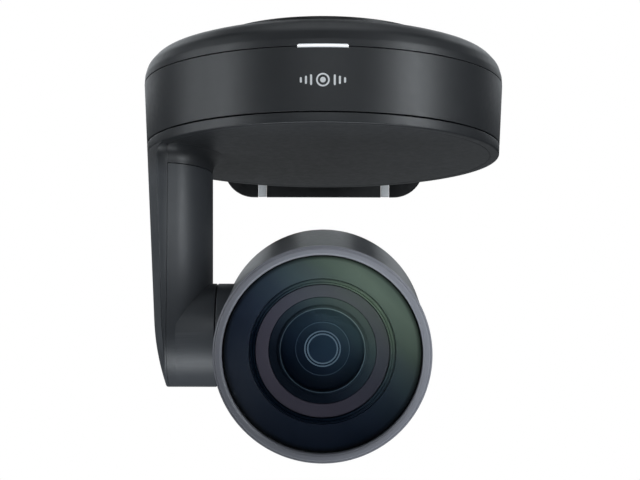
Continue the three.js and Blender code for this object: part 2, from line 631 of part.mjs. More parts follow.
function rearCover() {
  const front = HEAD_SEAM + SEAM;
  const lip = BARREL_RADIUS - HEAD_WALL - GAP;
  const wall = 3;
  const stations = [0, 0.3, 0.6, 0.85, 1].map((part) => THREE.MathUtils.lerp(front, HEAD_BACK, part));
  const outside = stations.map((y) => [backRadius(y), y]);
  const inside = [[BARREL_RADIUS - BACK_ROUND, HEAD_BACK - wall], [lip - 5, 26], [lip - 1.6, 22]];
  const bowl = aboutY([[0, HEAD_BACK - wall], ...inside, [lip - 1.6, 17], [lip, 17], [lip, front],
    ...outside, [0, HEAD_BACK]], LARGE);
  const columns = [];
  const bores = [];
  for (const angle of REAR_SCREW_ANGLES) {
    const [x, z] = [REAR_SCREW_RADIUS * Math.cos(angle), REAR_SCREW_RADIUS * Math.sin(angle)];
    columns.push(aboutY(rodOutline(SCREW_BOSS_RADIUS, 20, HEAD_BACK - 1), SMALL).translate(x, 0, z));
    bores.push(aboutY([[0, 19], [SCREW_CLEARANCE, 19], [SCREW_CLEARANCE, 28], [3.2, 28], [3.2, FAR],
      [0, FAR]], SMALL).translate(x, 0, z));
  }
  return cut(join(bowl, ...columns), ...bores);
}

add(head, 'head_rear_cover', rearCover(), 'shell');

REAR_SCREW_ANGLES.forEach((angle, i) => {
  const [x, z] = [REAR_SCREW_RADIUS * Math.cos(angle), REAR_SCREW_RADIUS * Math.sin(angle)];
  const geometry = screw(2.8, 1.9, 1.4, 12).rotateX(-Math.PI / 2).translate(x, HEAD_BACK - 0.6, z);
  add(head, `rear_screw_${i + 1}`, geometry, 'steel');
});

add(head, 'front_ring', aboutY([[RING_BORE + 1, -46], [RING_BORE + 1, BARREL_FRONT - GAP],
  [RING_RADIUS, BARREL_FRONT - GAP], [RING_RADIUS, -52.8], [42.4, -53.7], [41.4, RING_FRONT],
  [40.2, -53.8], [RING_BORE, -53.1], [RING_BORE, -46]], LARGE), 'bezel');
add(head, 'front_glass', aboutY([[0, -50.6], [GLASS_RADIUS, -50.6], [GLASS_RADIUS, -51.6], [28, -52.5],
  [15, -53.1], [0, -53.4]], LARGE), 'glass');
add(head, 'lens_baffle', aboutY([[29.3, -42], [GLASS_RADIUS, -42], [GLASS_RADIUS, -50.2], [38.6, -50.2],
  [29.3, -44]], LARGE), 'lens');
add(head, 'retaining_ring', aboutY([[27, -40], [29, -40], [29, -43.4], [28.2, -43.8], [27, -43.2]], MIDDLE),
  'black');
add(head, 'lens_face_ring', aboutY([[22, -39.6], [26.7, -39.6], [26.7, -42.8], [22, -41.4]], MIDDLE),
  'mauve');

// The lens tube, with slots for the followers of the two lens groups.
function lensBarrel() {
  const tube = aboutY(tubeOutline(LENS_BORE, LENS_TUBE_RADIUS, -40.8, 8), MIDDLE);
  const zoomSlot = block(-2.8, 2.8, -34, -12, 0, 30);
  const focusSlot = block(-2.8, 2.8, -18, -4, -30, 0);
  return cut(tube, zoomSlot, focusSlot);
}

add(head, 'lens_barrel', lensBarrel(), 'lens');
add(head, 'front_element', aboutY([[0, -37.6], [16.7, -36.6], [16.7, -38.6], [12, -41.2], [6, -42.5],
  [0, -42.9]], MEDIUM), 'glass');
add(head, 'iris_plate', aboutY(tubeOutline(6, 16.6, -36, -35.2), MEDIUM), 'black');

for (const [name, side] of [['guide_rod_left', -1], ['guide_rod_right', 1]]) {
  add(head, name, aboutY(rodOutline(ROD_RADIUS, -34.6, 4), SMALL).translate(side * ROD_X, 0, 0), 'steel');
}

// A sliding lens group: a carrier with its lens, holes for the rods and a follower on its lead screw.
function lensGroup(from, to, followerTo, up) {
  const middle = (from + to) / 2;
  const carrier = aboutY([[0, middle - 1.6], [8, from + 1.6], [9, from], [16.4, from], [16.4, to], [9, to],
    [8, to - 1.6], [0, middle + 1.6]], MEDIUM);
  const [near, far] = [Math.min(up * 12, up * 29), Math.max(up * 12, up * 29)];
  const follower = block(-2, 2, from, followerTo, near, far);
  const hole = (radius, x, z) => aboutY(rodOutline(radius, from - 1, to + 1), SMALL).translate(x, 0, z);
  const rodHole = (x) => hole(ROD_RADIUS + 0.35, x, 0);
  const screwHole = hole(LEAD_SCREW_RADIUS + GAP, 0, up * SCREW_Z);
  return cut(join(carrier, follower), rodHole(-ROD_X), rodHole(ROD_X), screwHole);
}

add(head, 'zoom_group', lensGroup(-31, -24, -28, 1), 'lens');
add(head, 'focus_group', lensGroup(-14, -9, -11.5, -1), 'lens');

function leadScrew(from, to, up) {
  return aboutY(rodOutline(LEAD_SCREW_RADIUS, from, to), SMALL).translate(0, 0, up * SCREW_Z);
}

add(head, 'zoom_screw', leadScrew(-34, -8.3, 1), 'steel');
add(head, 'focus_screw', leadScrew(-20, -6.8, -1), 'steel');

for (const [name, front, z] of [['zoom_motor', -8, SCREW_Z], ['focus_motor', -6.5, -SCREW_Z]]) {
  add(head, name, aboutY(rodOutline(LENS_MOTOR_RADIUS, front, 4.7), MEDIUM).translate(0, 0, z), 'steel');
}

add(head, 'optics_frame', aboutY(tubeOutline(LENS_TUBE_RADIUS + GAP, 39, 5, 6.5), LARGE), 'aluminium');
add(head, 'sensor_board', block(-19, 19, 9, 10.4, -19, 19), 'board');
add(head, 'image_sensor', block(-7, 7, 7, 8.7, -5.5, 5.5), 'glass');

add(head, 'tilt_shaft', aboutX([[4.6, -58], [7.1, -58], [7.1, -41.6], [13, -41.6], [13, -39.6], [4.6, -39.6]],
  MEDIUM), 'steel');
// At rest a tooth of the tilt gear points straight up.
add(head, 'tilt_gear', acrossX(gearShape(TILT_GEAR.module, TILT_GEAR.teeth, 7.4), GEAR_X.low, GEAR_X.high)
  .rotateX(-REST_TILT), 'nylon');

// The origin is on the bracket's wall face.
model.position.set(0, -WALL_Y, -ORIGIN_Z);

export default model;
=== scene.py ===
"""A PTZ camera hung upside down under a wall bracket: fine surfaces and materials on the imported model.

Shapes are drawn in millimetres in three local frames: BASE has its origin on the pan axis at the
turntable's flat underside, HEAD and LENS have theirs on the tilt axis and tilt with the head. In LENS
the z axis is the lens axis, pointing to the back of the head.
"""
import json
import math

import bmesh
import bpy
from mathutils import Matrix, Vector


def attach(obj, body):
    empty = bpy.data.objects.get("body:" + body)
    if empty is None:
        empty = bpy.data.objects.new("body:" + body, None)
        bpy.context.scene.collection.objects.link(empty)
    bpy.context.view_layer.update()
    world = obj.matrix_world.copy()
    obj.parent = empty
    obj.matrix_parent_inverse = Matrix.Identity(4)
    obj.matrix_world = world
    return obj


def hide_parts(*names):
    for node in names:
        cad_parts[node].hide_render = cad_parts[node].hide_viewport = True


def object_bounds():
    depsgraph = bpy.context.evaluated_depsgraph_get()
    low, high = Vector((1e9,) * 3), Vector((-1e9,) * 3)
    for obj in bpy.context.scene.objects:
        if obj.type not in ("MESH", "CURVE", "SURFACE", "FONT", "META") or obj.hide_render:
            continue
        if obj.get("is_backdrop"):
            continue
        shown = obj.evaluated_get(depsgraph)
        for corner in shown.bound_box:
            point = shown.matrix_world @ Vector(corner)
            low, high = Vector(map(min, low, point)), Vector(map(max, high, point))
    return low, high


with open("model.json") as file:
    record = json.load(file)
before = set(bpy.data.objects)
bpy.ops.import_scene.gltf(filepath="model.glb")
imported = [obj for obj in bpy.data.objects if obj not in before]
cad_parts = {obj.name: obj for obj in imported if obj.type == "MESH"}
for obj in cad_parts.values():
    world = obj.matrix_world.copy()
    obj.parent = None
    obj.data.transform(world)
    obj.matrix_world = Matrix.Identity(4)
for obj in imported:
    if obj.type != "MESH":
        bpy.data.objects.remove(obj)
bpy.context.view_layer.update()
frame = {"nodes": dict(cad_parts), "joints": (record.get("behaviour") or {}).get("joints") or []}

# ------------------------------------------------------------------ frames and driving dimensions

JOINTS = {joint["name"]: joint for joint in frame["joints"]}
SLIDE = JOINTS["zoom_slide"]["axis"]
REST_TILT = math.atan2(SLIDE[2], SLIDE[1])
MM = Matrix.Scale(0.001, 4)
BASE = Matrix.Translation(JOINTS["pan"]["pos_m"]) @ MM
HEAD = Matrix.Translation(JOINTS["tilt"]["pos_m"]) @ Matrix.Rotation(REST_TILT, 4, "X") @ MM
ALONG_X = Matrix.Rotation(math.radians(90), 4, "Y")
Z_TO_FRONT = Matrix.Rotation(math.radians(90), 4, "X")
Z_TO_BACK = Matrix.Rotation(math.radians(-90), 4, "X")
LENS = HEAD @ Z_TO_BACK
XYZ_TO_YZX = Matrix(((0, 0, 1, 0), (1, 0, 0, 0), (0, 1, 0, 0), (0, 0, 0, 1)))

CONE_RADIUS, CONE_SLOPE = 74.3, 0.055
RIM_TOP = 4.1
SEAM = 0.5
COVER_SEAM = 0.25
SHELL_BOTTOM = RIM_TOP + SEAM
SHELL_TOP = 29.95
COVER_BOTTOM = SHELL_TOP + COVER_SEAM
FOOT_Z = 45.3
WALL = 2.4
BAR_Z = 30.225  # the light bar lies across the seam between shell and cover
BAR_WIDTH, BAR_HEIGHT = 20, 1.45
BAR_NOTCH = 0.15
SIGN_Z = 16.7

PLATE = 2.5
SHELF_Z = 47.1
BRACKET_HALF = 46.7
WALL_Y = 90
LEG_BOTTOM = -2
LEG_CORNER = 14
BEND_RADIUS = 4
STRIP_X = 28.65
STRIP_WIDTH = 3.7
STRIP_TOP = 30
LEG_HOLE_X = 38
KNOB_RADIUS, KNOB_HEIGHT = 9.2, 6

ARM_SPLIT = -64
ARM_KNEE = -60.3  # where the flat radial sides end and the rounded inner side begins
ARM_ROOT = -7
ARM_HALF = 26
ARM_REACH_TOP, ARM_REACH_LOW = 17.2, 18
ARM_FLARE = 6
ARM_WALL = 2.2
ARM_CURVE_TOP, ARM_CURVE_RADIUS = -70, 96
TILT_Z = -75.6
BOSS_RADIUS = 21.6
BOSS_END, HUB_END = -44.2, -43.9

BARREL_RADIUS = 42.7
BARREL_FRONT = -50.3
BARREL_STRAIGHT = 19.2
HEAD_SEAM = 22.4
HEAD_BACK = 31
HEAD_WALL = 1.8
RING_RADIUS = 43.2
RING_FRONT = -54
RING_BORE = 39.6
GLASS_RADIUS = 39.2
ELEMENT_RADIUS = 16.7
PUPIL_RADIUS = 5.8
REAR_SCREW_ANGLES = (90, 210, 330)
REAR_SCREW_CIRCLE = 24

# segments round a turned body
FINE = 192
ROUND = 96
LITTLE = 40


def cone(z):
    return CONE_RADIUS + CONE_SLOPE * z


def envelope(z):
    """Radius of the arm's outer face about the pan axis."""
    drop = max(0.0, ARM_CURVE_TOP - z)
    return cone(z) - ARM_CURVE_RADIUS + math.sqrt(ARM_CURVE_RADIUS**2 - drop**2)


# ------------------------------------------------------------------ mesh helpers


def new_object(name, mesh):
    obj = bpy.data.objects.new(name, mesh)
    bpy.context.scene.collection.objects.link(obj)
    return obj


def from_bmesh(name, work):
    bmesh.ops.remove_doubles(work, verts=work.verts, dist=1e-4)
    bmesh.ops.recalc_face_normals(work, faces=work.faces)
    mesh = bpy.data.meshes.new(name)
    work.to_mesh(mesh)
    work.free()
    return new_object(name, mesh)


def fillet(corners, steps=6):
    """A closed outline from (r, z) or (r, z, radius) corners, each radius rounded with an arc."""
    points = []
    count = len(corners)
    for i, corner in enumerate(corners):
        here = Vector(corner[:2])
        radius = corner[2] if len(corner) > 2 else 0
        if radius == 0:
            points.append(tuple(here))
            continue
        before = (Vector(corners[i - 1][:2]) - here).normalized()
        after = (Vector(corners[(i + 1) % count][:2]) - here).normalized()
        half = before.angle(after) / 2
        centre = here + (before + after).normalized() * (radius / math.sin(half))
        first = here + before * (radius / math.tan(half)) - centre
        last = here + after * (radius / math.tan(half)) - centre
        turn = math.atan2(first.x * last.y - first.y * last.x, first.dot(last))
        for step in range(steps + 1):
            arm = Matrix.Rotation(turn * step / steps, 2) @ first
            points.append(tuple(centre + arm))
    return points


def revolve(name, outline, segments=FINE):
    """A closed body turned about z from a closed outline of (r, z)."""
    work = bmesh.new()
    rings = []
    for step in range(segments):
        angle = 2 * math.pi * step / segments
        rings.append([work.verts.new((r * math.sin(angle), -r * math.cos(angle), z)) for r, z in outline])
    count = len(outline)
    for step in range(segments):
        ring, following = rings[step], rings[(step + 1) % segments]
        for i in range(count):
            j = (i + 1) % count
            if outline[i][0] == 0 and outline[j][0] == 0:
                continue
            work.faces.new((ring[i], following[i], following[j], ring[j]))
    bmesh.ops.remove_doubles(work, verts=work.verts, dist=1e-5)
    return from_bmesh(name, work)


def prism(name, outline, low, high):
    """A flat outline of (x, y), given thickness along z."""
    work = bmesh.new()
    bottom = [work.verts.new((x, y, low)) for x, y in outline]
    top = [work.verts.new((x, y, high)) for x, y in outline]
    work.faces.new(bottom)
    work.faces.new(top)
    for i in range(len(outline)):
        j = (i + 1) % len(outline)
        work.faces.new((bottom[i], bottom[j], top[j], top[i]))
    return from_bmesh(name, work)


def loft(name, levels):
    """A closed body through outlines of (x, y, z) with equal numbers of points."""
    work = bmesh.new()
    rows = [[work.verts.new(point) for point in level] for level in levels]
    work.faces.new(rows[0])
    work.faces.new(rows[-1])
    for low, high in zip(rows, rows[1:]):
        for i in range(len(low)):
            j = (i + 1) % len(low)
            work.faces.new((low[i], low[j], high[j], high[i]))
    return from_bmesh(name, work)


def box(name, x0, x1, y0, y1, z0, z1):
    return prism(name, [(x0, y0), (x1, y0), (x1, y1), (x0, y1)], z0, z1)


def rounded_rectangle(width, height, radius, steps=8):
    w, h = width / 2, height / 2
    return fillet([(-w, -h, radius), (w, -h, radius), (w, h, radius), (-w, h, radius)], steps)


def circle(radius, steps=LITTLE):
    return [(radius * math.cos(2 * math.pi * i / steps), radius * math.sin(2 * math.pi * i / steps))
            for i in range(steps)]


def on_circle(radius, degrees):
    return radius * math.cos(math.radians(degrees)), radius * math.sin(math.radians(degrees))


def moved(obj, matrix):
    obj.data.transform(matrix)
    return obj


def bake_modifiers(obj):
    bpy.context.view_layer.update()
    graph = bpy.context.evaluated_depsgraph_get()
    mesh = bpy.data.meshes.new_from_object(obj.evaluated_get(graph))
    obj.modifiers.clear()
    obj.data = mesh
    return obj


def combine(obj, others, operation="DIFFERENCE"):
    """obj joined with, cut by or limited to the others, which are used up."""
    for other in others:
        modifier = obj.modifiers.new("combine", "BOOLEAN")
        modifier.operation = operation
        modifier.solver = "EXACT"
        modifier.object = other
        bake_modifiers(obj)
        bpy.data.objects.remove(other)
    return obj


def soften(obj, width, angle=40, segments=2):
    """Small rounds on the sharp edges."""
    modifier = obj.modifiers.new("soften", "BEVEL")
    modifier.width = width
    modifier.segments = segments
    modifier.limit_method = "ANGLE"
    modifier.angle_limit = math.radians(angle)
    modifier.harden_normals = False
    modifier.miter_outer = "MITER_ARC"
    return bake_modifiers(obj)


def settle(obj, place, body, material, nodes=(), sharp=32):
    """Puts a finished piece in the frame: scale and place, smooth shading, body, material."""
    obj.data.transform(place)
    obj.data.shade_smooth()
    obj.data.set_sharp_from_angle(angle=math.radians(sharp))
    obj.data.materials.clear()
    obj.data.materials.append(material)
    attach(obj, body)
    if nodes:
        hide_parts(*nodes)
    return obj


# ------------------------------------------------------------------ materials


class Shader:
    """A material with its Principled shader and short calls for adding nodes."""

    def __init__(self, name, **sockets):
        self.material = bpy.data.materials.new(name)
        self.material.use_nodes = True
        self.tree = self.material.node_tree
        self.bsdf = self.tree.nodes["Principled BSDF"]
        self.output = self.tree.nodes["Material Output"]
        self.coords = self.tree.nodes.new("ShaderNodeTexCoord").outputs["Object"]
        for socket, value in sockets.items():
            self.bsdf.inputs[socket.replace("_", " ")].default_value = value

    def node(self, kind, inputs=None, **settings):
        made = self.tree.nodes.new(kind)
        for key, value in settings.items():
            setattr(made, key, value)
        for key, value in (inputs or {}).items():
            if isinstance(value, bpy.types.NodeSocket):
                self.tree.links.new(value, made.inputs[key])
            else:
                made.inputs[key].default_value = value
        return made

    def noise(self, scale, detail=3, roughness=0.5):
        made = self.node("ShaderNodeTexNoise", {"Vector": self.coords, "Scale": scale, "Detail": detail,
                                                "Roughness": roughness})
        return made.outputs["Fac"]

    def ramp(self, factor, *stops):
        """Colours or grey values at places from 0 to 1."""
        made = self.node("ShaderNodeValToRGB", {"Fac": factor})
        elements = made.color_ramp.elements
        while len(elements) < len(stops):
            elements.new(0.5)
        for element, (place, value) in zip(elements, stops):
            element.position = place
            colour = (value, value, value) if isinstance(value, (int, float)) else value
            element.color = (*colour, 1)
        return made.outputs["Color"]

    def colour(self, factor, dark, light):
        self.tree.links.new(self.ramp(factor, (0.3, dark), (0.7, light)), self.bsdf.inputs["Base Color"])

    def roughness(self, factor, low, high):
        self.tree.links.new(self.ramp(factor, (0.3, low), (0.7, high)), self.bsdf.inputs["Roughness"])

    def bump(self, height, strength, distance):
        made = self.node("ShaderNodeBump", {"Height": height, "Strength": strength, "Distance": distance})
        self.tree.links.new(made.outputs["Normal"], self.bsdf.inputs["Normal"])


def moulded(name, dark, light, rough, grain=0.5, **sockets):
    """Moulded plastic: slight tone drift, fine spark-eroded grain, uneven gloss."""
    shader = Shader(name, **sockets)
    shader.colour(shader.noise(60, 2), dark, light)
    shader.roughness(shader.noise(400, 3), rough - 0.03, rough + 0.03)
    shader.bump(shader.noise(3200, 2), grain, 0.00004)
    return shader.material


def moulded_with_painted_arm_light(name, dark, light, rough, painted_light_gain, **sockets):
    """Moulded plastic that is painted paler below the rim, where the plate turns into the arm: painted light,
    to match the arm.
    """
    shader = Shader(name, **sockets)
    tone = shader.ramp(shader.noise(60, 2), (0.3, dark), (0.7, light))
    height = shader.node("ShaderNodeSeparateXYZ", {"Vector": shader.coords}).outputs["Z"]
    rim, arm = (BASE @ Vector((0, 0, z)) for z in (-3, -12))
    level = shader.node("ShaderNodeMapRange", {"Value": height, "From Min": arm.z, "From Max": rim.z,
                                               "To Min": painted_light_gain, "To Max": 1.0}).outputs["Result"]
    scaled = shader.node("ShaderNodeVectorMath", {0: tone, "Scale": level}, operation="SCALE")
    shader.tree.links.new(scaled.outputs["Vector"], shader.bsdf.inputs["Base Color"])
    shader.roughness(shader.noise(400, 3), rough - 0.03, rough + 0.03)
    shader.bump(shader.noise(3200, 2), 0.5, 0.00004)
    return shader.material


def machined(name, dark, light, rough, **sockets):
    """Turned or drawn metal: brushed streaks and a little mottling."""
    shader = Shader(name, Metallic=1.0, **sockets)
    shader.colour(shader.noise(350, 4), dark, light)
    streaks = shader.node("ShaderNodeMapping", {"Vector": shader.coords, "Scale": (200, 200, 6000)})
    brushed = shader.node("ShaderNodeTexNoise", {"Vector": streaks.outputs["Vector"], "Scale": 1.0})
    shader.roughness(brushed.outputs["Fac"], rough - 0.07, rough + 0.07)
    shader.bump(brushed.outputs["Fac"], 0.25, 0.00002)
    return shader.material


def powder_coat(name, dark, light, rough):
    """Powder-coated steel: fine orange peel."""
    shader = Shader(name)
    shader.colour(shader.noise(90, 2), dark, light)
    shader.roughness(shader.noise(500, 3), rough - 0.05, rough + 0.05)
    shader.bump(shader.noise(1400, 3), 0.35, 0.00008)
    return shader.material


def circuit_board(name):
    """Solder mask over tracks, which show as lighter lines."""
    shader = Shader(name, Roughness=0.4)
    tracks = shader.node("ShaderNodeTexBrick", {"Vector": shader.coords, "Scale": 160.0, "Mortar Size": 0.03,
                                                "Color1": (0.01, 0.06, 0.03, 1),
                                                "Color2": (0.012, 0.075, 0.035, 1),
                                                "Mortar": (0.03, 0.16, 0.08, 1)})
    shader.tree.links.new(tracks.outputs["Color"], shader.bsdf.inputs["Base Color"])
    shader.bump(tracks.outputs["Fac"], 0.3, 0.00003)
    return shader.material


def light_guide(name):
    """A milky bar lit from inside: bright along its middle, dim at its upper and lower edge."""
    shader = Shader(name, Base_Color=(0.6, 0.63, 0.66, 1), Roughness=0.35)
    middle = (BASE @ Vector((0, 0, BAR_Z))).z
    height = shader.node("ShaderNodeSeparateXYZ", {"Vector": shader.coords}).outputs["Z"]
    above = shader.node("ShaderNodeMath", {0: height, 1: middle}, operation="SUBTRACT").outputs["Value"]
    away = shader.node("ShaderNodeMath", {0: above}, operation="ABSOLUTE").outputs["Value"]
    part = shader.node("ShaderNodeMapRange", {"Value": away, "From Max": BAR_HEIGHT / 2000}).outputs["Result"]
    glow = shader.ramp(part, (0.0, 0.7), (0.3, 0.6), (0.6, 0.22), (1.0, 0.06))
    shader.tree.links.new(glow, shader.bsdf.inputs["Emission Color"])
    shader.bsdf.inputs["Emission Strength"].default_value = 1.3
    return shader.material


def clear_glass(name, tint, ior, rough):
    """Thin clear glass with a faint gloss."""
    shader = Shader(name)
    through = shader.node("ShaderNodeBsdfTransparent", {"Color": (*tint, 1)})
    haze = shader.ramp(shader.noise(30, 2), (0.3, 0.86), (0.7, 0.95))
    mirror = shader.node("ShaderNodeBsdfAnisotropic", {"Color": haze, "Roughness": rough})
    edge = shader.node("ShaderNodeFresnel", {"IOR": ior})
    final = shader.node("ShaderNodeMixShader", {0: edge.outputs[0], 1: through.outputs[0],
                                                2: mirror.outputs[0]})
    shader.tree.links.new(final.outputs[0], shader.output.inputs["Surface"])
    shader.tree.nodes.remove(shader.bsdf)
    return shader.material


# A painted sheen over the lens, a painted reflection of the coatings: its colour at distances in mm from the
# axis, towards the upper right.
PAINTED_SHEEN = [(-40, (0.0005, 0.0015, 0.003)), (-14, (0.001, 0.0025, 0.005)), (-5, (0.005, 0.008, 0.013)),
         (0, (0.008, 0.013, 0.018)), (5, (0.0125, 0.019, 0.025)), (10, (0.022, 0.032, 0.036)),
         (14, (0.030, 0.043, 0.043)), (19, (0.042, 0.055, 0.050)), (24, (0.058, 0.078, 0.058)),
         (33, (0.105, 0.135, 0.098)), (40, (0.09, 0.12, 0.09))]
# The front ring is painted paler towards the same side: painted light.
RING_PAINTED_LIGHT = [(-40, (0.085, 0.087, 0.100)), (0, (0.160, 0.163, 0.186)), (40, (0.25, 0.255, 0.285))]
PAINTED_SHEEN_REACH = 40
PAINTED_SHEEN_DRIFT = 0.05  # how far noise shifts the sheen, as a part of its whole width
SHADE_LEVEL = 0.06  # what is left of a colour past the outer radius of its shade
UP_RIGHT = HEAD.to_3x3().normalized() @ Vector((0.707, 0, 0.707))


def painted_sheen_material(name, own, strength, rough, sheen=PAINTED_SHEEN, shade=None, **sockets):
    """Its own colour, with a painted sheen on top, a painted reflection that changes towards the upper right.

    shade gives two radii about the lens axis in mm for a painted shade: full colour at the first, nearly
    black at the second.
    """
    shader = Shader(name, Roughness=rough, **sockets)
    along = shader.node("ShaderNodeVectorMath", {0: shader.coords, 1: UP_RIGHT}, operation="DOT_PRODUCT")
    centre = UP_RIGHT.dot(HEAD.translation)
    reach = PAINTED_SHEEN_REACH / 1000
    across = shader.node("ShaderNodeMapRange", {"Value": along.outputs["Value"], "From Min": centre - reach,
                                                "From Max": centre + reach})
    drift = shader.node("ShaderNodeMath", {0: shader.noise(60, 2), 1: PAINTED_SHEEN_DRIFT,
                                                  2: across.outputs["Result"]}, operation="MULTIPLY_ADD")
    level = shader.node("ShaderNodeMath", {0: drift.outputs["Value"], 1: PAINTED_SHEEN_DRIFT / 2},
                        operation="SUBTRACT")
    stops = [((place + PAINTED_SHEEN_REACH) / (2 * PAINTED_SHEEN_REACH), tuple(a + strength * b for a, b in zip(own, colour)))
             for place, colour in sheen]
    colour = shader.ramp(level.outputs["Value"], *stops)
    # Painted shade: the colour darkens towards the outer radius, as in the shadow of the front ring.
    if shade:
        axis = HEAD.to_3x3().normalized() @ Vector((0, 1, 0))
        offset = shader.node("ShaderNodeVectorMath", {0: shader.coords, 1: HEAD.translation},
                             operation="SUBTRACT")
        radial = shader.node("ShaderNodeVectorMath", {0: offset.outputs["Vector"], 1: axis},
                             operation="CROSS_PRODUCT")
        radius = shader.node("ShaderNodeVectorMath", {0: radial.outputs["Vector"]}, operation="LENGTH")
        fade = shader.node("ShaderNodeMapRange", {"Value": radius.outputs["Value"],
                                                  "From Min": shade[0] / 1000, "From Max": shade[1] / 1000,
                                                  "To Min": 1.0, "To Max": SHADE_LEVEL})
        dimmed = shader.node("ShaderNodeVectorMath", {0: colour, "Scale": fade.outputs["Result"]},
                             operation="SCALE")
        colour = dimmed.outputs["Vector"]
    shader.tree.links.new(colour, shader.bsdf.inputs["Base Color"])
    shader.bump(shader.noise(3000, 2), 0.15, 0.00002)
    return shader.material


CHARCOAL_TONES = (0.017, 0.0185, 0.0205), (0.0205, 0.022, 0.0245)
CHARCOAL = moulded("charcoal_plastic", *CHARCOAL_TONES, 0.42, Specular_IOR_Level=0.55)
# The arm's charcoal is painted paler than the base's: painted light for the light that falls on the arm's
# front.
CHARCOAL_ARM_PAINTED_LIGHT = moulded("charcoal_plastic_arm_painted_light", (0.050, 0.054, 0.060), (0.060, 0.0645, 0.072), 0.42,
                       Specular_IOR_Level=0.55)
# The turntable plate is painted paler below the rim, painted light as on the arm.
CHARCOAL_PLATE_PAINTED_LIGHT = moulded_with_painted_arm_light("charcoal_plastic_plate_painted_light", *CHARCOAL_TONES, 0.42, painted_light_gain=2.93,
                                   Specular_IOR_Level=0.55)
# The head's charcoal is paler than the base's, partly as painted light on the barrel and hub.
CHARCOAL_HEAD_PAINTED_LIGHT = moulded("charcoal_plastic_head_painted_light", (0.052, 0.056, 0.063), (0.059, 0.0635, 0.071), 0.42,
                        Specular_IOR_Level=0.5)
BLACK = moulded("black_plastic", (0.006, 0.006, 0.007), (0.009, 0.009, 0.010), 0.5)
LENS_BLACK = moulded("lens_black", (0.0035, 0.004, 0.0065), (0.0055, 0.006, 0.009), 0.38, grain=0.2)
BLACK_METAL = powder_coat("black_powder_coat", (0.006, 0.0065, 0.007), (0.010, 0.0105, 0.0115), 0.42)
STRIP = moulded("pale_strip", (0.52, 0.53, 0.54), (0.58, 0.59, 0.60), 0.55)
RUBBER = moulded("rubber", (0.012, 0.012, 0.012), (0.02, 0.02, 0.02), 0.8, grain=0.8)
NYLON = moulded("natural_nylon", (0.58, 0.55, 0.48), (0.66, 0.63, 0.56), 0.5)
CABLE = moulded("amber_cable", (0.36, 0.19, 0.05), (0.44, 0.24, 0.07), 0.35)
PRINT = moulded("print_ink", (0.70, 0.71, 0.72), (0.8, 0.81, 0.82), 0.5)
STEEL = machined("brushed_steel", (0.42, 0.43, 0.44), (0.55, 0.56, 0.57), 0.33)
ALUMINIUM = machined("satin_aluminium", (0.58, 0.59, 0.6), (0.68, 0.69, 0.7), 0.4)
BRASS = machined("turned_brass", (0.6, 0.42, 0.17), (0.72, 0.53, 0.24), 0.3)
BOARD = circuit_board("circuit_board")
GLOW = light_guide("light_guide")
FRONT_GLASS = clear_glass("front_glass_clear", (0.97, 0.98, 0.98), 1.07, 0.08)
ELEMENT_GLASS = clear_glass("front_element_clear", (0.9, 0.93, 0.96), 1.05, 0.1)
# The lens materials below carry a painted sheen, a painted reflection brightest towards the upper right.
FUNNEL = painted_sheen_material("lens_funnel", (0.0042, 0.007, 0.0165), 1.75, 0.5, shade=(37.2, 39.0),
                 Specular_IOR_Level=0.12)
GAP_BLACK = painted_sheen_material("lens_gap", (0.0, 0.0, 0.001), 2.6, 0.6, Specular_IOR_Level=0.02)
MAUVE = painted_sheen_material("lens_mauve", (0.045, 0.037, 0.052), 1.0, 0.5, Specular_IOR_Level=0.15)
CELL = painted_sheen_material("lens_cell", (0.001, 0.001, 0.002), 1.9, 0.5, Specular_IOR_Level=0.05)
IRIS = painted_sheen_material("lens_iris", (0.0, 0.0, 0.001), 2.6, 0.5, Specular_IOR_Level=0.05)
PUPIL = painted_sheen_material("lens_pupil", (0.012, 0.022, 0.035), 1.6, 0.3, Specular_IOR_Level=0.2)
# Painted highlights for the fine bright rings in the lens.
PAINTED_HIGHLIGHT_BRIGHT = painted_sheen_material("lens_painted_highlight_bright", (0.20, 0.25, 0.29), 1.6, 0.4, Specular_IOR_Level=0.2)
PAINTED_HIGHLIGHT_FAINT = painted_sheen_material("lens_painted_highlight_faint", (0.035, 0.05, 0.06), 4.5, 0.4, Specular_IOR_Level=0.2)
# The front ring: its own grey with painted light, paler towards the upper right.
BEZEL = painted_sheen_material("bezel_plastic", (0, 0, 0), 1.0, 0.45, RING_PAINTED_LIGHT)

# ------------------------------------------------------------------ wall bracket


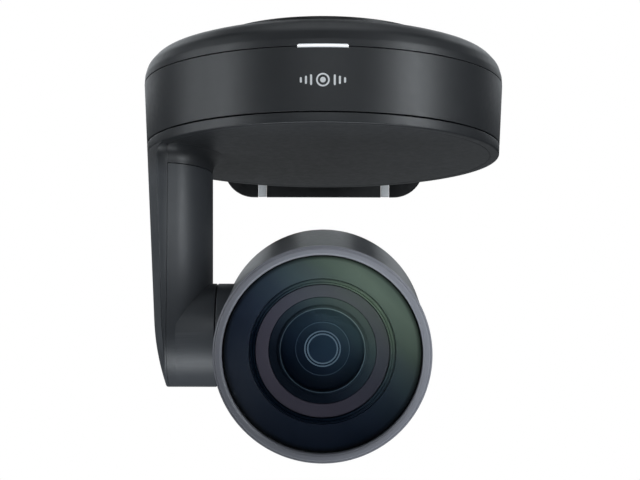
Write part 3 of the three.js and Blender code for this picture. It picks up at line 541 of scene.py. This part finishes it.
def bracket():
    inner = BEND_RADIUS - PLATE
    shelf_top = SHELF_Z + PLATE
    front = -BRACKET_HALF - 1
    side = fillet([(front, SHELF_Z), (WALL_Y - PLATE, SHELF_Z, inner), (WALL_Y - PLATE, LEG_BOTTOM),
                   (WALL_Y, LEG_BOTTOM), (WALL_Y, shelf_top, BEND_RADIUS), (front, shelf_top)], 12)
    plate = prism("wall_bracket_plate", side, -BRACKET_HALF, BRACKET_HALF)
    # The side outline is drawn in y and z, so the axes turn from x-y-z to y-z-x.
    moved(plate, XYZ_TO_YZX)
    half_turn = [math.pi + math.pi * step / ROUND for step in range(ROUND + 1)]
    plan = [(BRACKET_HALF * math.cos(a), BRACKET_HALF * math.sin(a)) for a in half_turn]
    plan += [(BRACKET_HALF, WALL_Y + 1), (-BRACKET_HALF, WALL_Y + 1)]
    over = prism("plan", plan, LEG_BOTTOM - 1, shelf_top + 1)
    top = shelf_top + 2 * LEG_CORNER
    elevation = fillet([(-BRACKET_HALF, LEG_BOTTOM, LEG_CORNER), (BRACKET_HALF, LEG_BOTTOM, LEG_CORNER),
                        (BRACKET_HALF, top), (-BRACKET_HALF, top)], 16)
    across = moved(prism("elevation", elevation, -120, 120), Z_TO_FRONT)
    combine(plate, [over, across], "INTERSECT")
    cutters = [revolve("hole", [(0, SHELF_Z - 1), (3.6, SHELF_Z - 1), (3.6, shelf_top + 1),
                                (0, shelf_top + 1)], LITTLE)]
    for side_sign in (-1, 1):
        for z in (12, 38):
            hole = revolve("hole", [(0, -3), (2.6, -3), (2.6, 6), (0, 6)], LITTLE)
            turn = Matrix.Translation((side_sign * LEG_HOLE_X, WALL_Y, z)) @ Z_TO_FRONT
            cutters.append(moved(hole, turn))
        half, x = STRIP_WIDTH / 2 + 0.15, side_sign * STRIP_X
        cutters.append(box("slot", x - half, x + half, WALL_Y - 5, WALL_Y + 1, LEG_BOTTOM - 1,
                           STRIP_TOP + 0.2))
    combine(plate, cutters)
    soften(plate, 0.45, segments=3)
    return settle(plate, BASE, "base", BLACK_METAL, ["wall_bracket"])


def spacer_strips():
    for side, sign in (("left", -1), ("right", 1)):
        x, half = sign * STRIP_X, STRIP_WIDTH / 2
        strip = box(f"spacer_strip_{side}_fine", x - half, x + half, WALL_Y - PLATE - 0.4, WALL_Y - 0.3,
                    LEG_BOTTOM + 0.1, STRIP_TOP)
        soften(strip, 0.35, segments=3)
        settle(strip, BASE, "base", STRIP, [f"spacer_strip_{side}"])


def mount_screw():
    """A knurled thumb screw with a coin slot."""
    low = SHELF_Z + PLATE + 0.3
    high = low + KNOB_HEIGHT
    lobes = 48
    outline = []
    for step in range(lobes * 4):
        angle = 2 * math.pi * step / (lobes * 4)
        radius = 8.75 + 0.22 * math.cos(lobes * angle)
        outline.append((radius * math.cos(angle), radius * math.sin(angle)))
    knob = prism("mount_screw_fine", outline, low, high)
    flat = KNOB_RADIUS - 1
    dome = revolve("dome", fillet([(0, low), (flat, low), (KNOB_RADIUS, low + 1), (KNOB_RADIUS, high - 1),
                                   (flat, high), (0, high)]))
    combine(knob, [dome], "INTERSECT")
    slot = box("slot", -6, 6, -0.8, 0.8, high - 1.8, high + 3)
    stud = revolve("stud", [(0, 37.5), (2.6, 37.5), (3.1, 38.2), (3.1, low + 0.5), (0, low + 0.5)], LITTLE)
    combine(knob, [stud], "UNION")
    combine(knob, [slot])
    return settle(knob, BASE, "base", STEEL, ["mount_screw"])


# ------------------------------------------------------------------ base


def light_notch():
    half = BAR_WIDTH / 2 + BAR_NOTCH
    return box("notch", -half, half, -90, -69.5, 29.38, 31.07)


def bottom_cover():
    outline = fillet([
        (6.3, 36.5), (10, 36.5, 0.6), (10, 42.6, 1), (55, 42.3, 6), (64, 41.2, 6), (69, 39, 4), (71.6, 36, 4),
        (73.2, 33), (73.4, COVER_BOTTOM + 0.2), (73.7, COVER_BOTTOM), (75.9, COVER_BOTTOM, 0.25),
        (75.75, 33.2, 5), (74.55, 37.2, 6), (70.9, 41.45, 9), (62, 44.6, 30), (50.5, FOOT_Z, 8),
        (45.3, FOOT_Z, 0.2), (45.3, 44.5), (34.7, 44.5), (34.7, FOOT_Z, 0.2), (6.3, FOOT_Z, 0.3)])
    cover = revolve("base_bottom_cover_fine", outline)
    cutters = [light_notch()]
    for angle in range(45, 360, 90):
        pit = revolve("pit", [(0, 43), (3.3, 43), (3.3, 50), (0, 50)], LITTLE)
        x, y = on_circle(28, angle)
        cutters.append(moved(pit, Matrix.Translation((x, y, 0))))
    combine(cover, cutters)
    return settle(cover, BASE, "base", CHARCOAL, ["base_bottom_cover"])


PORT_HALF, PORT_LOW, PORT_HIGH, PORT_FLOOR, PORT_WALL = 31, 9.5, 25.5, 60, 1.6
SOCKET_Z = (PORT_LOW + PORT_HIGH) / 2
POWER_X, DATA_X, VIDEO_X = -20, -2, 18


def port_opening(name, near, grow=0.0):
    """The recess of the ports as a rounded block along y."""
    width = 2 * (PORT_HALF - PORT_WALL + grow)
    height = PORT_HIGH - PORT_LOW - 2 * (PORT_WALL - grow)
    block = prism(name, rounded_rectangle(width, height, 2.2), -100, -near)
    moved(block, Z_TO_FRONT)
    return moved(block, Matrix.Translation((0, 0, SOCKET_Z)))


def base_shell():
    outline = fillet([
        (63.5, SHELL_BOTTOM), (cone(SHELL_BOTTOM), SHELL_BOTTOM, 0.25), (cone(SHELL_TOP), SHELL_TOP, 0.25),
        (73.2, SHELL_TOP), (73.2, 32.4, 0.3), (71.8, 32.4, 0.3), (71.8, 29), (cone(27) - WALL, 27),
        (cone(7) - WALL, 7), (63.5, 7)])
    shell = revolve("base_shell_fine", outline)
    lock = prism("lock", rounded_rectangle(7, 3, 1.2), -90, -50)
    moved(lock, XYZ_TO_YZX)
    moved(lock, Matrix.Translation((0, 29.5, 16.5)))
    combine(shell, [light_notch(), port_opening("port", 62), lock])
    return settle(shell, BASE, "base", CHARCOAL, ["base_shell"])


def light_bar():
    bar = prism("status_light_bar_fine", rounded_rectangle(BAR_WIDTH, BAR_HEIGHT, 0.72), 69.9, 90)
    moved(bar, Matrix.Translation((0, 0, BAR_Z)) @ Z_TO_FRONT)
    limit = revolve("limit", [(0, 20), (75.98, 20), (75.98, 40), (0, 40)], 2 * FINE)
    combine(bar, [limit], "INTERSECT")
    soften(bar, 0.5, segments=5)
    return settle(bar, BASE, "base", GLOW, ["status_light_bar"])


def pictogram():
    """A generic sign printed on the wall: a lens between three bars of falling height on each side."""
    middle, proud, sunk = SIGN_Z, 0.04, 0.1
    marks = [(0, circle(2.65, 48), 0.76), (0, circle(1.1, 32), 0)]
    for sign in (-1, 1):
        for x, height in ((4.6, 4.2), (6.6, 3.2), (8.6, 2.2)):
            marks.append((sign * x, rounded_rectangle(0.8, height, 0.39, 6), 0))
    work = bmesh.new()
    for centre, outline, hole in marks:
        rings = []
        for scale, lift in ((hole, proud), (1, proud), (1, -sunk), (hole, -sunk)):
            ring = []
            for x, z in outline:
                height = middle + z * scale
                angle = (centre + x * scale) / cone(middle)
                radius = cone(height) + lift
                ring.append(work.verts.new((radius * math.sin(angle), -radius * math.cos(angle), height)))
            rings.append(ring)
        pairs = list(zip(rings, rings[1:]))
        if hole:
            pairs.append((rings[-1], rings[0]))
        for near, far in pairs:
            for i in range(len(outline)):
                j = (i + 1) % len(outline)
                work.faces.new((near[i], near[j], far[j], far[i]))
    return settle(from_bmesh("base_sign_print", work), BASE, "base", PRINT)


def port_panel():
    limit = fillet([(0, 5), (cone(5) - WALL - 0.15, 5), (cone(28) - WALL - 0.15, 28), (0, 28)])
    tray = box("port_panel_fine", -PORT_HALF, PORT_HALF, PORT_FLOOR - PORT_WALL, 90, PORT_LOW, PORT_HIGH)
    combine(tray, [revolve("limit", limit)], "INTERSECT")
    cutters = [port_opening("inside", PORT_FLOOR)]
    for x, width, height, radius in ((POWER_X, 9.3, 9.3, 4.6), (DATA_X, 9.7, 3.9, 1.9),
                                     (VIDEO_X, 15.7, 6.3, 1.2)):
        hole = prism("socket_hole", rounded_rectangle(width, height, radius), -90, -40)
        cutters.append(moved(hole, Matrix.Translation((x, 0, SOCKET_Z)) @ Z_TO_FRONT))
    combine(tray, cutters)
    soften(tray, 0.2)
    return settle(tray, BASE, "base", BLACK, ["port_panel"])


def socket(name, node, x, outline, hollow, tongue, material, slot, depth=49):
    """A socket that looks to the back: a sleeve with a hollow and a tongue or pin in it."""
    turn = Matrix.Translation((x, 0, SOCKET_Z)) @ Z_TO_FRONT
    body = moved(prism(name, outline, -59.7, -46), turn)
    combine(body, [moved(prism("hollow", hollow, -80, -depth), turn)])
    combine(body, [moved(prism("tongue", tongue, -58.5, -48), turn)], "UNION")
    soften(body, 0.12)
    return settle(body, BASE, "base", material, [node])


def sockets():
    socket("power_jack_fine", "power_jack", POWER_X, circle(4.45), circle(3.2), circle(1, 20), BLACK,
           "black_plastic")
    socket("data_socket_fine", "data_socket", DATA_X, rounded_rectangle(9.4, 3.6, 1.75),
           rounded_rectangle(8.4, 2.6, 1.25), rounded_rectangle(6.6, 0.7, 0.2, 2), STEEL, "steel")
    socket("video_socket_fine", "video_socket", VIDEO_X, rounded_rectangle(15.4, 6, 1.1),
           rounded_rectangle(14.2, 4.8, 0.7), rounded_rectangle(12, 1.2, 0.2, 2), STEEL, "steel")


# ------------------------------------------------------------------ turntable and arm

# The arm's sides lean in towards the boss on its tangents.
LEAN = math.atan2(ARM_HALF, -TILT_Z) - math.asin(BOSS_RADIUS / math.hypot(ARM_HALF, TILT_Z))
TANGENT_Z = TILT_Z - BOSS_RADIUS * math.sin(LEAN)
EDGE_ROUND = 0.7
EDGE_X = -68.6  # about where the outer face ends and its rounded edges begin
SIDE_SLOPE = math.tan(math.radians(24.5))


def straight_half(z):
    return ARM_HALF + z * math.tan(LEAN)


def side_stations(inset, top, flare=ARM_FLARE):
    """(half depth, z) down the arm's side outline, from the disc to the bottom of the boss."""
    stations = [(straight_half(0) + flare - inset, top)]
    steps = 9
    for step in range(steps + 1):
        angle = math.radians(84) * (1 - step / steps)
        stations.append((straight_half(0) + flare * (1 - math.cos(angle)) - inset,
                         -flare * (1 - math.sin(angle))))
    rows = 44
    for row in range(1, rows):
        z = -flare + (TANGENT_Z + flare) * row / rows
        stations.append((straight_half(z) - inset, z))
    arc = 26
    radius = BOSS_RADIUS - inset
    for step in range(arc + 1):
        angle = -LEAN - (math.pi / 2 - LEAN) * step / arc
        stations.append((max(radius * math.cos(angle), 0.0), TILT_Z + radius * math.sin(angle)))
    return stations


def side_y(half, x):
    """Half depth of the arm at x: its flat sides turn a little towards the lens."""
    return half + SIDE_SLOPE * (ARM_KNEE - x) * min(half / BOSS_RADIUS, 1.0)


def face_x(y, z, inset):
    """x on the outer face; beside the rim it lies a hair inside it, so that the two don't coincide."""
    dip = 0.12 * min(max(z, 0.0), 1.0)
    return -math.sqrt((envelope(z) - inset - dip) ** 2 - y**2)


def outer_lump(name, inset, end_x, top, edge=EDGE_ROUND):
    """The outer half of the arm: the curved face, a rounded edge, straight sides and a flat end."""
    work = bmesh.new()
    columns, arc = 36, 4
    outline = side_stations(inset, top)
    rows = []
    for (half, z), (face_half, face_z) in zip(outline, side_stations(inset + edge, top)):
        face_z = z if z > TANGENT_Z else face_z
        reach = side_y(face_half, EDGE_X)
        row = []
        for column in range(columns + 1):
            y = reach * (2 * column / columns - 1)
            row.append((face_x(y, face_z, inset), y, face_z))
        rims = []
        start_x = face_x(reach, face_z, inset)
        corner = side_y(half, start_x + edge)
        for sign in (-1, 1):
            side = []
            for step in range(1, arc + 1):
                turn = math.pi / 2 * step / arc
                part = math.sin(turn)
                side.append((start_x + edge * (1 - math.cos(turn)),
                             sign * (reach + (corner - reach) * part), face_z + (z - face_z) * part))
            side.append((end_x, sign * side_y(half, end_x), z))
            rims.append(side)
        rows.append([work.verts.new(p) for p in rims[0][::-1] + row + rims[1]])
    for upper, lower in zip(rows, rows[1:]):
        for i in range(len(upper) - 1):
            work.faces.new((upper[i], upper[i + 1], lower[i + 1], lower[i]))
        work.faces.new((upper[-1], upper[0], lower[0], lower[-1]))
    work.faces.new(rows[0])
    bmesh.ops.remove_doubles(work, verts=work.verts, dist=1e-4)
    bmesh.ops.dissolve_degenerate(work, edges=work.edges, dist=1e-4)
    return from_bmesh(name, work)


def arm_half(z, inset):
    """Half depth at the knee: straight sides that end in the boss's round."""
    if z > TANGENT_Z:
        return straight_half(min(z, 0.0)) - inset
    return math.sqrt(max((BOSS_RADIUS - inset) ** 2 - (z - TILT_Z) ** 2, 0.0))


def bulge(name, inset, start_x, heights):
    """The inner half of the arm: flat sides up to the knee, then part of an ellipse that they touch.

    Near the disc it flares into it; the flare fades out along the flat sides towards start_x.
    """
    steps = 48
    levels = []
    for z in heights:
        rise = min(max(z + ARM_FLARE, 0.0), ARM_FLARE * 0.995)
        flare = ARM_FLARE - math.sqrt(ARM_FLARE**2 - rise**2)
        reach = ARM_REACH_TOP + (ARM_REACH_LOW - ARM_REACH_TOP) * max(0.0, z / TILT_Z) + flare - inset
        half = arm_half(z, inset) + flare
        width = ARM_SPLIT + reach - ARM_KNEE
        slope = SIDE_SLOPE * min(half / BOSS_RADIUS, 1.0) * width / max(half, 1e-6)
        first = slope / (1 - slope)
        along, deep = width / (1 - first), half / math.sqrt(1 - first**2)
        centre = ARM_KNEE + width - along
        level = [(start_x, -side_y(half - flare, start_x), z)]
        for step in range(steps + 1):
            angle = math.acos(first) * (2 * step / steps - 1)
            level.append((centre + along * math.cos(angle), deep * math.sin(angle), z))
        level.append((start_x, side_y(half - flare, start_x), z))
        levels.append(level)
    return loft(name, levels)


def spread(low, high, count):
    return [low + (high - low) * i / count for i in range(count + 1)]


FILLET_HEIGHTS = [-ARM_FLARE * (1 - math.sin(math.radians(a))) for a in range(0, 90, 9)]


def round_heights(inset):
    """Heights down the boss's round end, closer together towards its lowest point."""
    radius = BOSS_RADIUS - inset
    low = math.asin((TANGENT_Z - TILT_Z) / radius)
    return [TILT_Z + radius * math.sin(low - (math.radians(89) + low) * i / 30) for i in range(1, 31)]


def turntable():
    edge = cone(0)
    groove = [(70.3, 0, 0.1), (70.45, 0.22, 0.08), (70.6, 0, 0.1)]
    # the rim's rounded outline, whose first and last point give way to points on the axis
    rim = fillet([(11, 0.02)] + groove + [(edge, 0, 0.8), (cone(RIM_TOP), RIM_TOP, 0.25), (70.9, RIM_TOP),
                                          (70.9, WALL), (11, WALL)])
    shell = revolve("turntable_shell_fine", [(0, 0)] + rim[1:-1] + [(0, WALL)])
    outer = outer_lump("outer", 0, ARM_SPLIT + 0.1, 1.0)
    stub_start = ARM_SPLIT - 3.5
    stub_heights = spread(ARM_ROOT, -ARM_FLARE, 2)[:-1] + FILLET_HEIGHTS + [0.3, 1.0]
    stub = bulge("stub", 0, stub_start, stub_heights)
    combine(shell, [outer, stub], "UNION")
    hollow_outer = outer_lump("hollow_outer", ARM_WALL, ARM_SPLIT + 4, 8, 0.3)
    hollow_stub = bulge("hollow_stub", ARM_WALL, stub_start, spread(-20, 8, 4))
    wiring = revolve("wiring", [(0, 1), (11, 1), (11, 6), (0, 6)], ROUND)
    combine(shell, [hollow_outer, hollow_stub, wiring])
    soften(shell, 0.14, angle=50)
    return settle(shell, BASE, "turntable", CHARCOAL_PLATE_PAINTED_LIGHT, ["turntable_shell"])


def arm_cover():
    start = ARM_SPLIT + 0.25
    top = ARM_ROOT - 0.35
    cover = bulge("arm_inner_cover_fine", 0, start, spread(top, TANGENT_Z + 0.3, 40) + round_heights(0))
    boss = revolve("boss", fillet([(0, ARM_KNEE), (BOSS_RADIUS, ARM_KNEE), (BOSS_RADIUS, BOSS_END, 0.5),
                                   (0, BOSS_END)]))
    moved(boss, Matrix.Translation((0, 0, TILT_Z)) @ ALONG_X)
    combine(cover, [boss], "UNION")
    inside = bulge("inside", ARM_WALL, start - 2, spread(top + 3, TILT_Z, 6)[::-1])
    hollow, depth = BOSS_RADIUS - ARM_WALL, BOSS_END - ARM_WALL
    inner_boss = revolve("inner_boss", [(0, start - 2), (hollow, start - 2), (hollow, depth), (0, depth)])
    bore = revolve("bore", [(0, -60), (10, -60), (10, -40), (0, -40)], ROUND)
    for cutter in (inner_boss, bore):
        moved(cutter, Matrix.Translation((0, 0, TILT_Z)) @ ALONG_X)
    combine(cover, [inside, inner_boss, bore])
    soften(cover, 0.14, angle=50)
    return settle(cover, BASE, "turntable", CHARCOAL_ARM_PAINTED_LIGHT, ["arm_inner_cover"])


# ------------------------------------------------------------------ head


def back_radius(y):
    back_round = HEAD_BACK - BARREL_STRAIGHT
    return BARREL_RADIUS - back_round + math.sqrt(max(back_round**2 - (y - BARREL_STRAIGHT) ** 2, 0))


def head_shell():
    inner = BARREL_RADIUS - HEAD_WALL
    side = [(back_radius(y), y) for y in spread(BARREL_STRAIGHT, HEAD_SEAM, 8)]
    outline = [(inner, BARREL_FRONT), (BARREL_RADIUS - 0.25, BARREL_FRONT),
               (BARREL_RADIUS, BARREL_FRONT + 0.25)]
    outline += side + [(inner, HEAD_SEAM)]
    barrel = moved(revolve("head_shell_fine", outline), Z_TO_BACK)
    hub = revolve("hub", fillet([(0, HUB_END), (BOSS_RADIUS, HUB_END, 0.5), (BOSS_RADIUS, -36), (0, -36)]))
    combine(barrel, [moved(hub, ALONG_X)], "UNION")
    core = moved(revolve("core", [(0, -60), (inner, -60), (inner, 40), (0, 40)]), Z_TO_BACK)
    hub_inside = revolve("hub_inside", [(0, HUB_END + 2), (BOSS_RADIUS - HEAD_WALL, HUB_END + 2),
                                        (BOSS_RADIUS - HEAD_WALL, -30), (0, -30)])
    bore = revolve("bore", [(0, -60), (7.5, -60), (7.5, -30), (0, -30)], ROUND)
    combine(barrel, [core, moved(hub_inside, ALONG_X), moved(bore, ALONG_X)])
    return settle(barrel, HEAD, "head", CHARCOAL_HEAD_PAINTED_LIGHT, ["head_shell"])


def rear_cover():
    front = HEAD_SEAM + SEAM
    lip = BARREL_RADIUS - HEAD_WALL - 0.3
    outside = [(back_radius(y), y) for y in spread(front, HEAD_BACK, 24)]
    outline = [(0, HEAD_BACK - 3), (29, HEAD_BACK - 3), (lip - 5, 26), (lip - 1.6, 22), (lip - 1.6, 17),
               (lip, 17), (lip, front)] + outside + [(0, HEAD_BACK)]
    cover = moved(revolve("head_rear_cover_fine", outline), Z_TO_BACK)
    cutters = []
    for angle in REAR_SCREW_ANGLES:
        x, z = on_circle(REAR_SCREW_CIRCLE, angle)
        pit = revolve("pit", fillet([(0, 28.6), (3.2, 28.6), (3.2, 30.7), (3.6, 31.5), (0, 31.5)]), LITTLE)
        cutters.append(moved(pit, Matrix.Translation((x, 0, z)) @ Z_TO_BACK))
    combine(cover, cutters)
    return settle(cover, HEAD, "head", CHARCOAL_HEAD_PAINTED_LIGHT, ["head_rear_cover"])


def rear_screws():
    for number, angle in enumerate(REAR_SCREW_ANGLES, 1):
        x, z = on_circle(REAR_SCREW_CIRCLE, angle)
        outline = fillet([(0, 18.4), (1.4, 18.4), (1.4, 28.5), (2.8, 28.5), (2.8, 30.4, 0.4), (0, 30.4)])
        screw = revolve(f"rear_screw_{number}_fine", outline, LITTLE)
        hexagon = prism("hexagon", circle(1.5, 6), 29.2, 33)
        combine(screw, [hexagon])
        turn = Matrix.Translation((x, 0, z)) @ Z_TO_BACK
        settle(moved(screw, turn), HEAD, "head", STEEL, [f"rear_screw_{number}"])


def lens_piece(name, outline, material, node=None):
    return settle(revolve(name, outline), LENS, "head", material, [node] if node else ())


def lens_dome(radius, front, fall, steps=24):
    """The front of a lens element, from its middle to its edge."""
    return [(radius * part, front + fall * part**2) for part in spread(0, 1, steps)]


def painted_highlight_ring(name, radius, width, z, material):
    """A painted highlight: a fine bright ring, such as the edge of a lens element catching light."""
    outline = fillet([(radius - width / 2, z - 0.12, 0.05), (radius + width / 2, z - 0.12, 0.05),
                      (radius + width / 2, z), (radius - width / 2, z)], 3)
    lens_piece(name, outline, material)


def lens_front():
    lens_piece("front_ring_fine", fillet([
        (RING_BORE + 1, -46), (RING_BORE + 1, BARREL_FRONT - 0.3), (RING_RADIUS, BARREL_FRONT - 0.3, 0.2),
        (RING_RADIUS, -52.9, 0.5), (42.55, -53.6, 0.1), (42.4, -53.35, 0.08), (42.25, -53.75, 0.1),
        (41.9, RING_FRONT, 0.4), (40.4, RING_FRONT, 0.5), (RING_BORE, -53.2, 0.4), (RING_BORE, -46)]),
        BEZEL, "front_ring")
    glass = [(0, -52.4)] + lens_dome(GLASS_RADIUS, -53.4, 1.8) + [(GLASS_RADIUS, -50.6)]
    lens_piece("front_glass_fine", glass, FRONT_GLASS, "front_glass")
    funnel = [(29.3, -42), (GLASS_RADIUS, -42), (GLASS_RADIUS, -50.2), (38.9, -50.2)]
    funnel += [(29.3 + 9.6 * (1 - part), -50.2 + 6.2 * part**0.8) for part in spread(0, 1, 16)[1:]]
    lens_piece("lens_baffle_fine", funnel, FUNNEL, "lens_baffle")
    lens_piece("retaining_ring_fine", fillet([
        (27, -40), (29, -40), (29, -43.2, 0.1), (28.6, -43.7, 0.1), (28.2, -43.7, 0.1), (28.1, -43.2),
        (27.7, -43.2), (27.6, -43.6, 0.1), (27.2, -43.6, 0.1), (27, -43.2)], 3),
        GAP_BLACK, "retaining_ring")
    # Painted highlight on the retaining ring's edge, in the funnel's painted sheen.
    painted_highlight_ring("retaining_ring_edge_highlight", 28.9, 0.22, -43.7, FUNNEL)
    lens_piece("lens_face_ring_fine", fillet([
        (21.6, -39.6), (26.7, -39.6), (26.7, -42.8, 0.2), (26.2, -42.7), (21.6, -41.1, 0.3)]), MAUVE,
        "lens_face_ring")
    barrel = revolve("lens_barrel_fine", fillet([
        (17, -40.6, 0.15), (17.6, -40.8, 0.15), (18.4, -40.1), (21.5, -40.8, 0.2), (21.5, 8), (17, 8)]))
    moved(barrel, Z_TO_BACK)
    zoom_slot = box("zoom_slot", -2.8, 2.8, -34, -12, 0, 30)
    focus_slot = box("focus_slot", -2.8, 2.8, -18, -4, -30, 0)
    combine(barrel, [zoom_slot, focus_slot])
    settle(barrel, HEAD, "head", CELL, ["lens_barrel"])
    element = [(0, -37.6)] + lens_dome(ELEMENT_RADIUS, -42.9, 4.3) + [(ELEMENT_RADIUS, -36.6)]
    lens_piece("front_element_fine", element, ELEMENT_GLASS, "front_element")
    # Painted highlight on the front element's edge.
    painted_highlight_ring("front_element_edge_highlight", 16.95, 0.3, -40.95, PAINTED_HIGHLIGHT_FAINT)
    iris = [(6, -35.9), (10.6, -36), (10.8, -36.15), (11, -36), (16.6, -36), (16.6, -35.2), (6, -35.2)]
    lens_piece("iris_plate_fine", iris, IRIS, "iris_plate")
    pupil = lens_dome(PUPIL_RADIUS, -36.5, 0.5, 16) + [(PUPIL_RADIUS, -35.95), (0, -35.95)]
    lens_piece("inner_element_fine", pupil, PUPIL)
    # Painted highlights on the inner element's edge and seat, and a painted reflection at the iris step.
    painted_highlight_ring("inner_element_edge_highlight", 5.95, 0.55, -36.2, PAINTED_HIGHLIGHT_BRIGHT)
    painted_highlight_ring("inner_element_seat_highlight", 7.1, 0.5, -36.1, PAINTED_HIGHLIGHT_BRIGHT)
    painted_highlight_ring("iris_step_reflection", 10.8, 0.3, -36.1, PAINTED_HIGHLIGHT_FAINT)


# ------------------------------------------------------------------ carried CAD nodes


def dress_nodes():
    looks = {
        "foot_ring": RUBBER, "thread_insert": BRASS, "light_board": BOARD, "chassis_plate": ALUMINIUM,
        "main_board": BOARD, "pan_motor": STEEL, "pan_bearing_outer": STEEL, "pan_gear": NYLON,
        "pan_hub": ALUMINIUM, "pan_bearing_inner": STEEL, "arm_frame": ALUMINIUM, "arm_flat_cable": CABLE,
        "tilt_motor": STEEL, "tilt_bush": NYLON, "pan_pinion": BRASS, "tilt_pinion": BRASS,
        "guide_rod_left": STEEL, "guide_rod_right": STEEL, "zoom_motor": STEEL, "focus_motor": STEEL,
        "optics_frame": ALUMINIUM, "sensor_board": BOARD, "image_sensor": BLACK, "tilt_shaft": STEEL,
        "tilt_gear": NYLON, "zoom_group": LENS_BLACK, "focus_group": LENS_BLACK, "zoom_screw": STEEL,
        "focus_screw": STEEL,
    }
    looks.update({f"cover_screw_{number}": STEEL for number in range(1, 5)})
    for name, material in looks.items():
        node = frame["nodes"][name]
        node.data.materials.clear()
        node.data.materials.append(material)


# ------------------------------------------------------------------ stage, lights, camera


AMBIENT = 0.036
FLOOR_GLOW = 0.78
FLOOR_DROP = 0.35
LIGHT_TINT = (0.91, 0.96, 1.0)


def pale_floor():
    """Matt and dark, but it glows pale to the camera, so that it hardly lights the object from below."""
    shader = Shader("pale_floor", Roughness=0.9)
    shader.colour(shader.noise(3, 2), (0.05, 0.05, 0.05), (0.06, 0.06, 0.06))
    shader.bsdf.inputs["Emission Color"].default_value = (1, 1, 1, 1)
    path = shader.tree.nodes.new("ShaderNodeLightPath")
    glow = shader.node("ShaderNodeMath", {0: path.outputs["Is Camera Ray"], 1: FLOOR_GLOW},
                       operation="MULTIPLY")
    shader.tree.links.new(glow.outputs["Value"], shader.bsdf.inputs["Emission Strength"])
    return shader.material


def area_light(name, place, size, power, target):
    data = bpy.data.lights.new(name, "AREA")
    data.shape = "RECTANGLE"
    data.size, data.size_y = size
    data.energy = power
    data.color = LIGHT_TINT
    light = bpy.data.objects.new(name, data)
    bpy.context.scene.collection.objects.link(light)
    light.location = place
    light.visible_camera = False
    light.rotation_euler = (Vector(target) - Vector(place)).to_track_quat("-Z", "Y").to_euler()


# name, azimuth from the front towards +X and elevation in degrees, distance and size in metres, watts
LIGHTS = [
    ("strip_left", -62, 1, 1.1, (0.20, 1.4), 5.0),
    ("strip_far_left", -86, 1, 1.1, (0.16, 1.4), 3.0),
    ("strip_right", 57, 1, 1.1, (0.30, 1.4), 10.0),
    ("rear_top", 180, 13, 1.1, (0.12, 0.07), 0.33),
    ("low_front", 0, -72, 0.44, (0.6, 0.20), 1.3),
    ("front_soft", 0, 12, 1.5, (0.8, 0.8), 2.6),
    ("rear_low", 180, -15, 1.1, (1.0, 0.35), 0.28),
    ("rear_fill", 150, 40, 1.5, (1.0, 1.0), 0.6),
    ("top_soft", 0, 84, 1.5, (1.2, 1.2), 4.0),
    ("back_left_soft", -150, 30, 1.5, (1.0, 1.0), 4.0),
    ("back_right_soft", 150, 30, 1.5, (1.0, 1.0), 3.0),
]


def stage():
    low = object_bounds()[0]
    mesh = bpy.data.meshes.new("floor")
    half = 4
    z = low.z - FLOOR_DROP
    corners = [(-half, -half, z), (half, -half, z), (half, half, z), (-half, half, z)]
    mesh.from_pydata(corners, [], [(0, 1, 2, 3)])
    floor = new_object("floor", mesh)
    floor.data.materials.append(pale_floor())
    floor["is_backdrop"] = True


def studio_world():
    """White to the camera, and a dim cool fill to everything else."""
    world = bpy.data.worlds.new("studio")
    bpy.context.scene.world = world
    world.use_nodes = True
    tree = world.node_tree
    backdrop = tree.nodes["Background"]
    backdrop.inputs["Color"].default_value = (1, 1, 1, 1)
    backdrop.inputs["Strength"].default_value = 1.0
    dim = tree.nodes.new("ShaderNodeBackground")
    dim.inputs["Color"].default_value = (0.92, 0.96, 1, 1)
    dim.inputs["Strength"].default_value = AMBIENT
    path = tree.nodes.new("ShaderNodeLightPath")
    mix = tree.nodes.new("ShaderNodeMixShader")
    tree.links.new(path.outputs["Is Camera Ray"], mix.inputs[0])
    tree.links.new(dim.outputs[0], mix.inputs[1])
    tree.links.new(backdrop.outputs[0], mix.inputs[2])
    tree.links.new(mix.outputs[0], tree.nodes["World Output"].inputs["Surface"])


def lights():
    centre = BASE @ Vector((0, 0, 15))
    for name, azimuth, elevation, distance, size, power in LIGHTS:
        turn, rise = math.radians(azimuth), math.radians(elevation)
        way = Vector((math.sin(turn) * math.cos(rise), -math.cos(turn) * math.cos(rise), math.sin(rise)))
        area_light(name, centre + way * distance, size, power, centre)


def photo_camera():
    data = bpy.data.cameras.new("photo_camera")
    data.sensor_width = 36
    data.lens = 111.9
    data.clip_start, data.clip_end = 0.01, 20
    camera = bpy.data.objects.new("photo_camera", data)
    bpy.context.scene.collection.objects.link(camera)
    place = BASE @ Vector((2.2, -830, -156))
    pitch, yaw, roll = 0.1445, -0.0042, math.radians(0.15)
    turn = Matrix.Rotation(-yaw, 4, "Z") @ Matrix.Rotation(math.pi / 2 + pitch, 4, "X")
    camera.matrix_world = Matrix.Translation(place) @ turn @ Matrix.Rotation(roll, 4, "Z")
    bpy.context.scene.camera = camera


photo_camera()
bracket()
spacer_strips()
mount_screw()
bottom_cover()
base_shell()
light_bar()
pictogram()
port_panel()
sockets()
turntable()
arm_cover()
head_shell()
rear_cover()
rear_screws()
lens_front()
dress_nodes()
stage()
studio_world()
lights()
bpy.context.scene.view_settings.view_transform = "Standard"
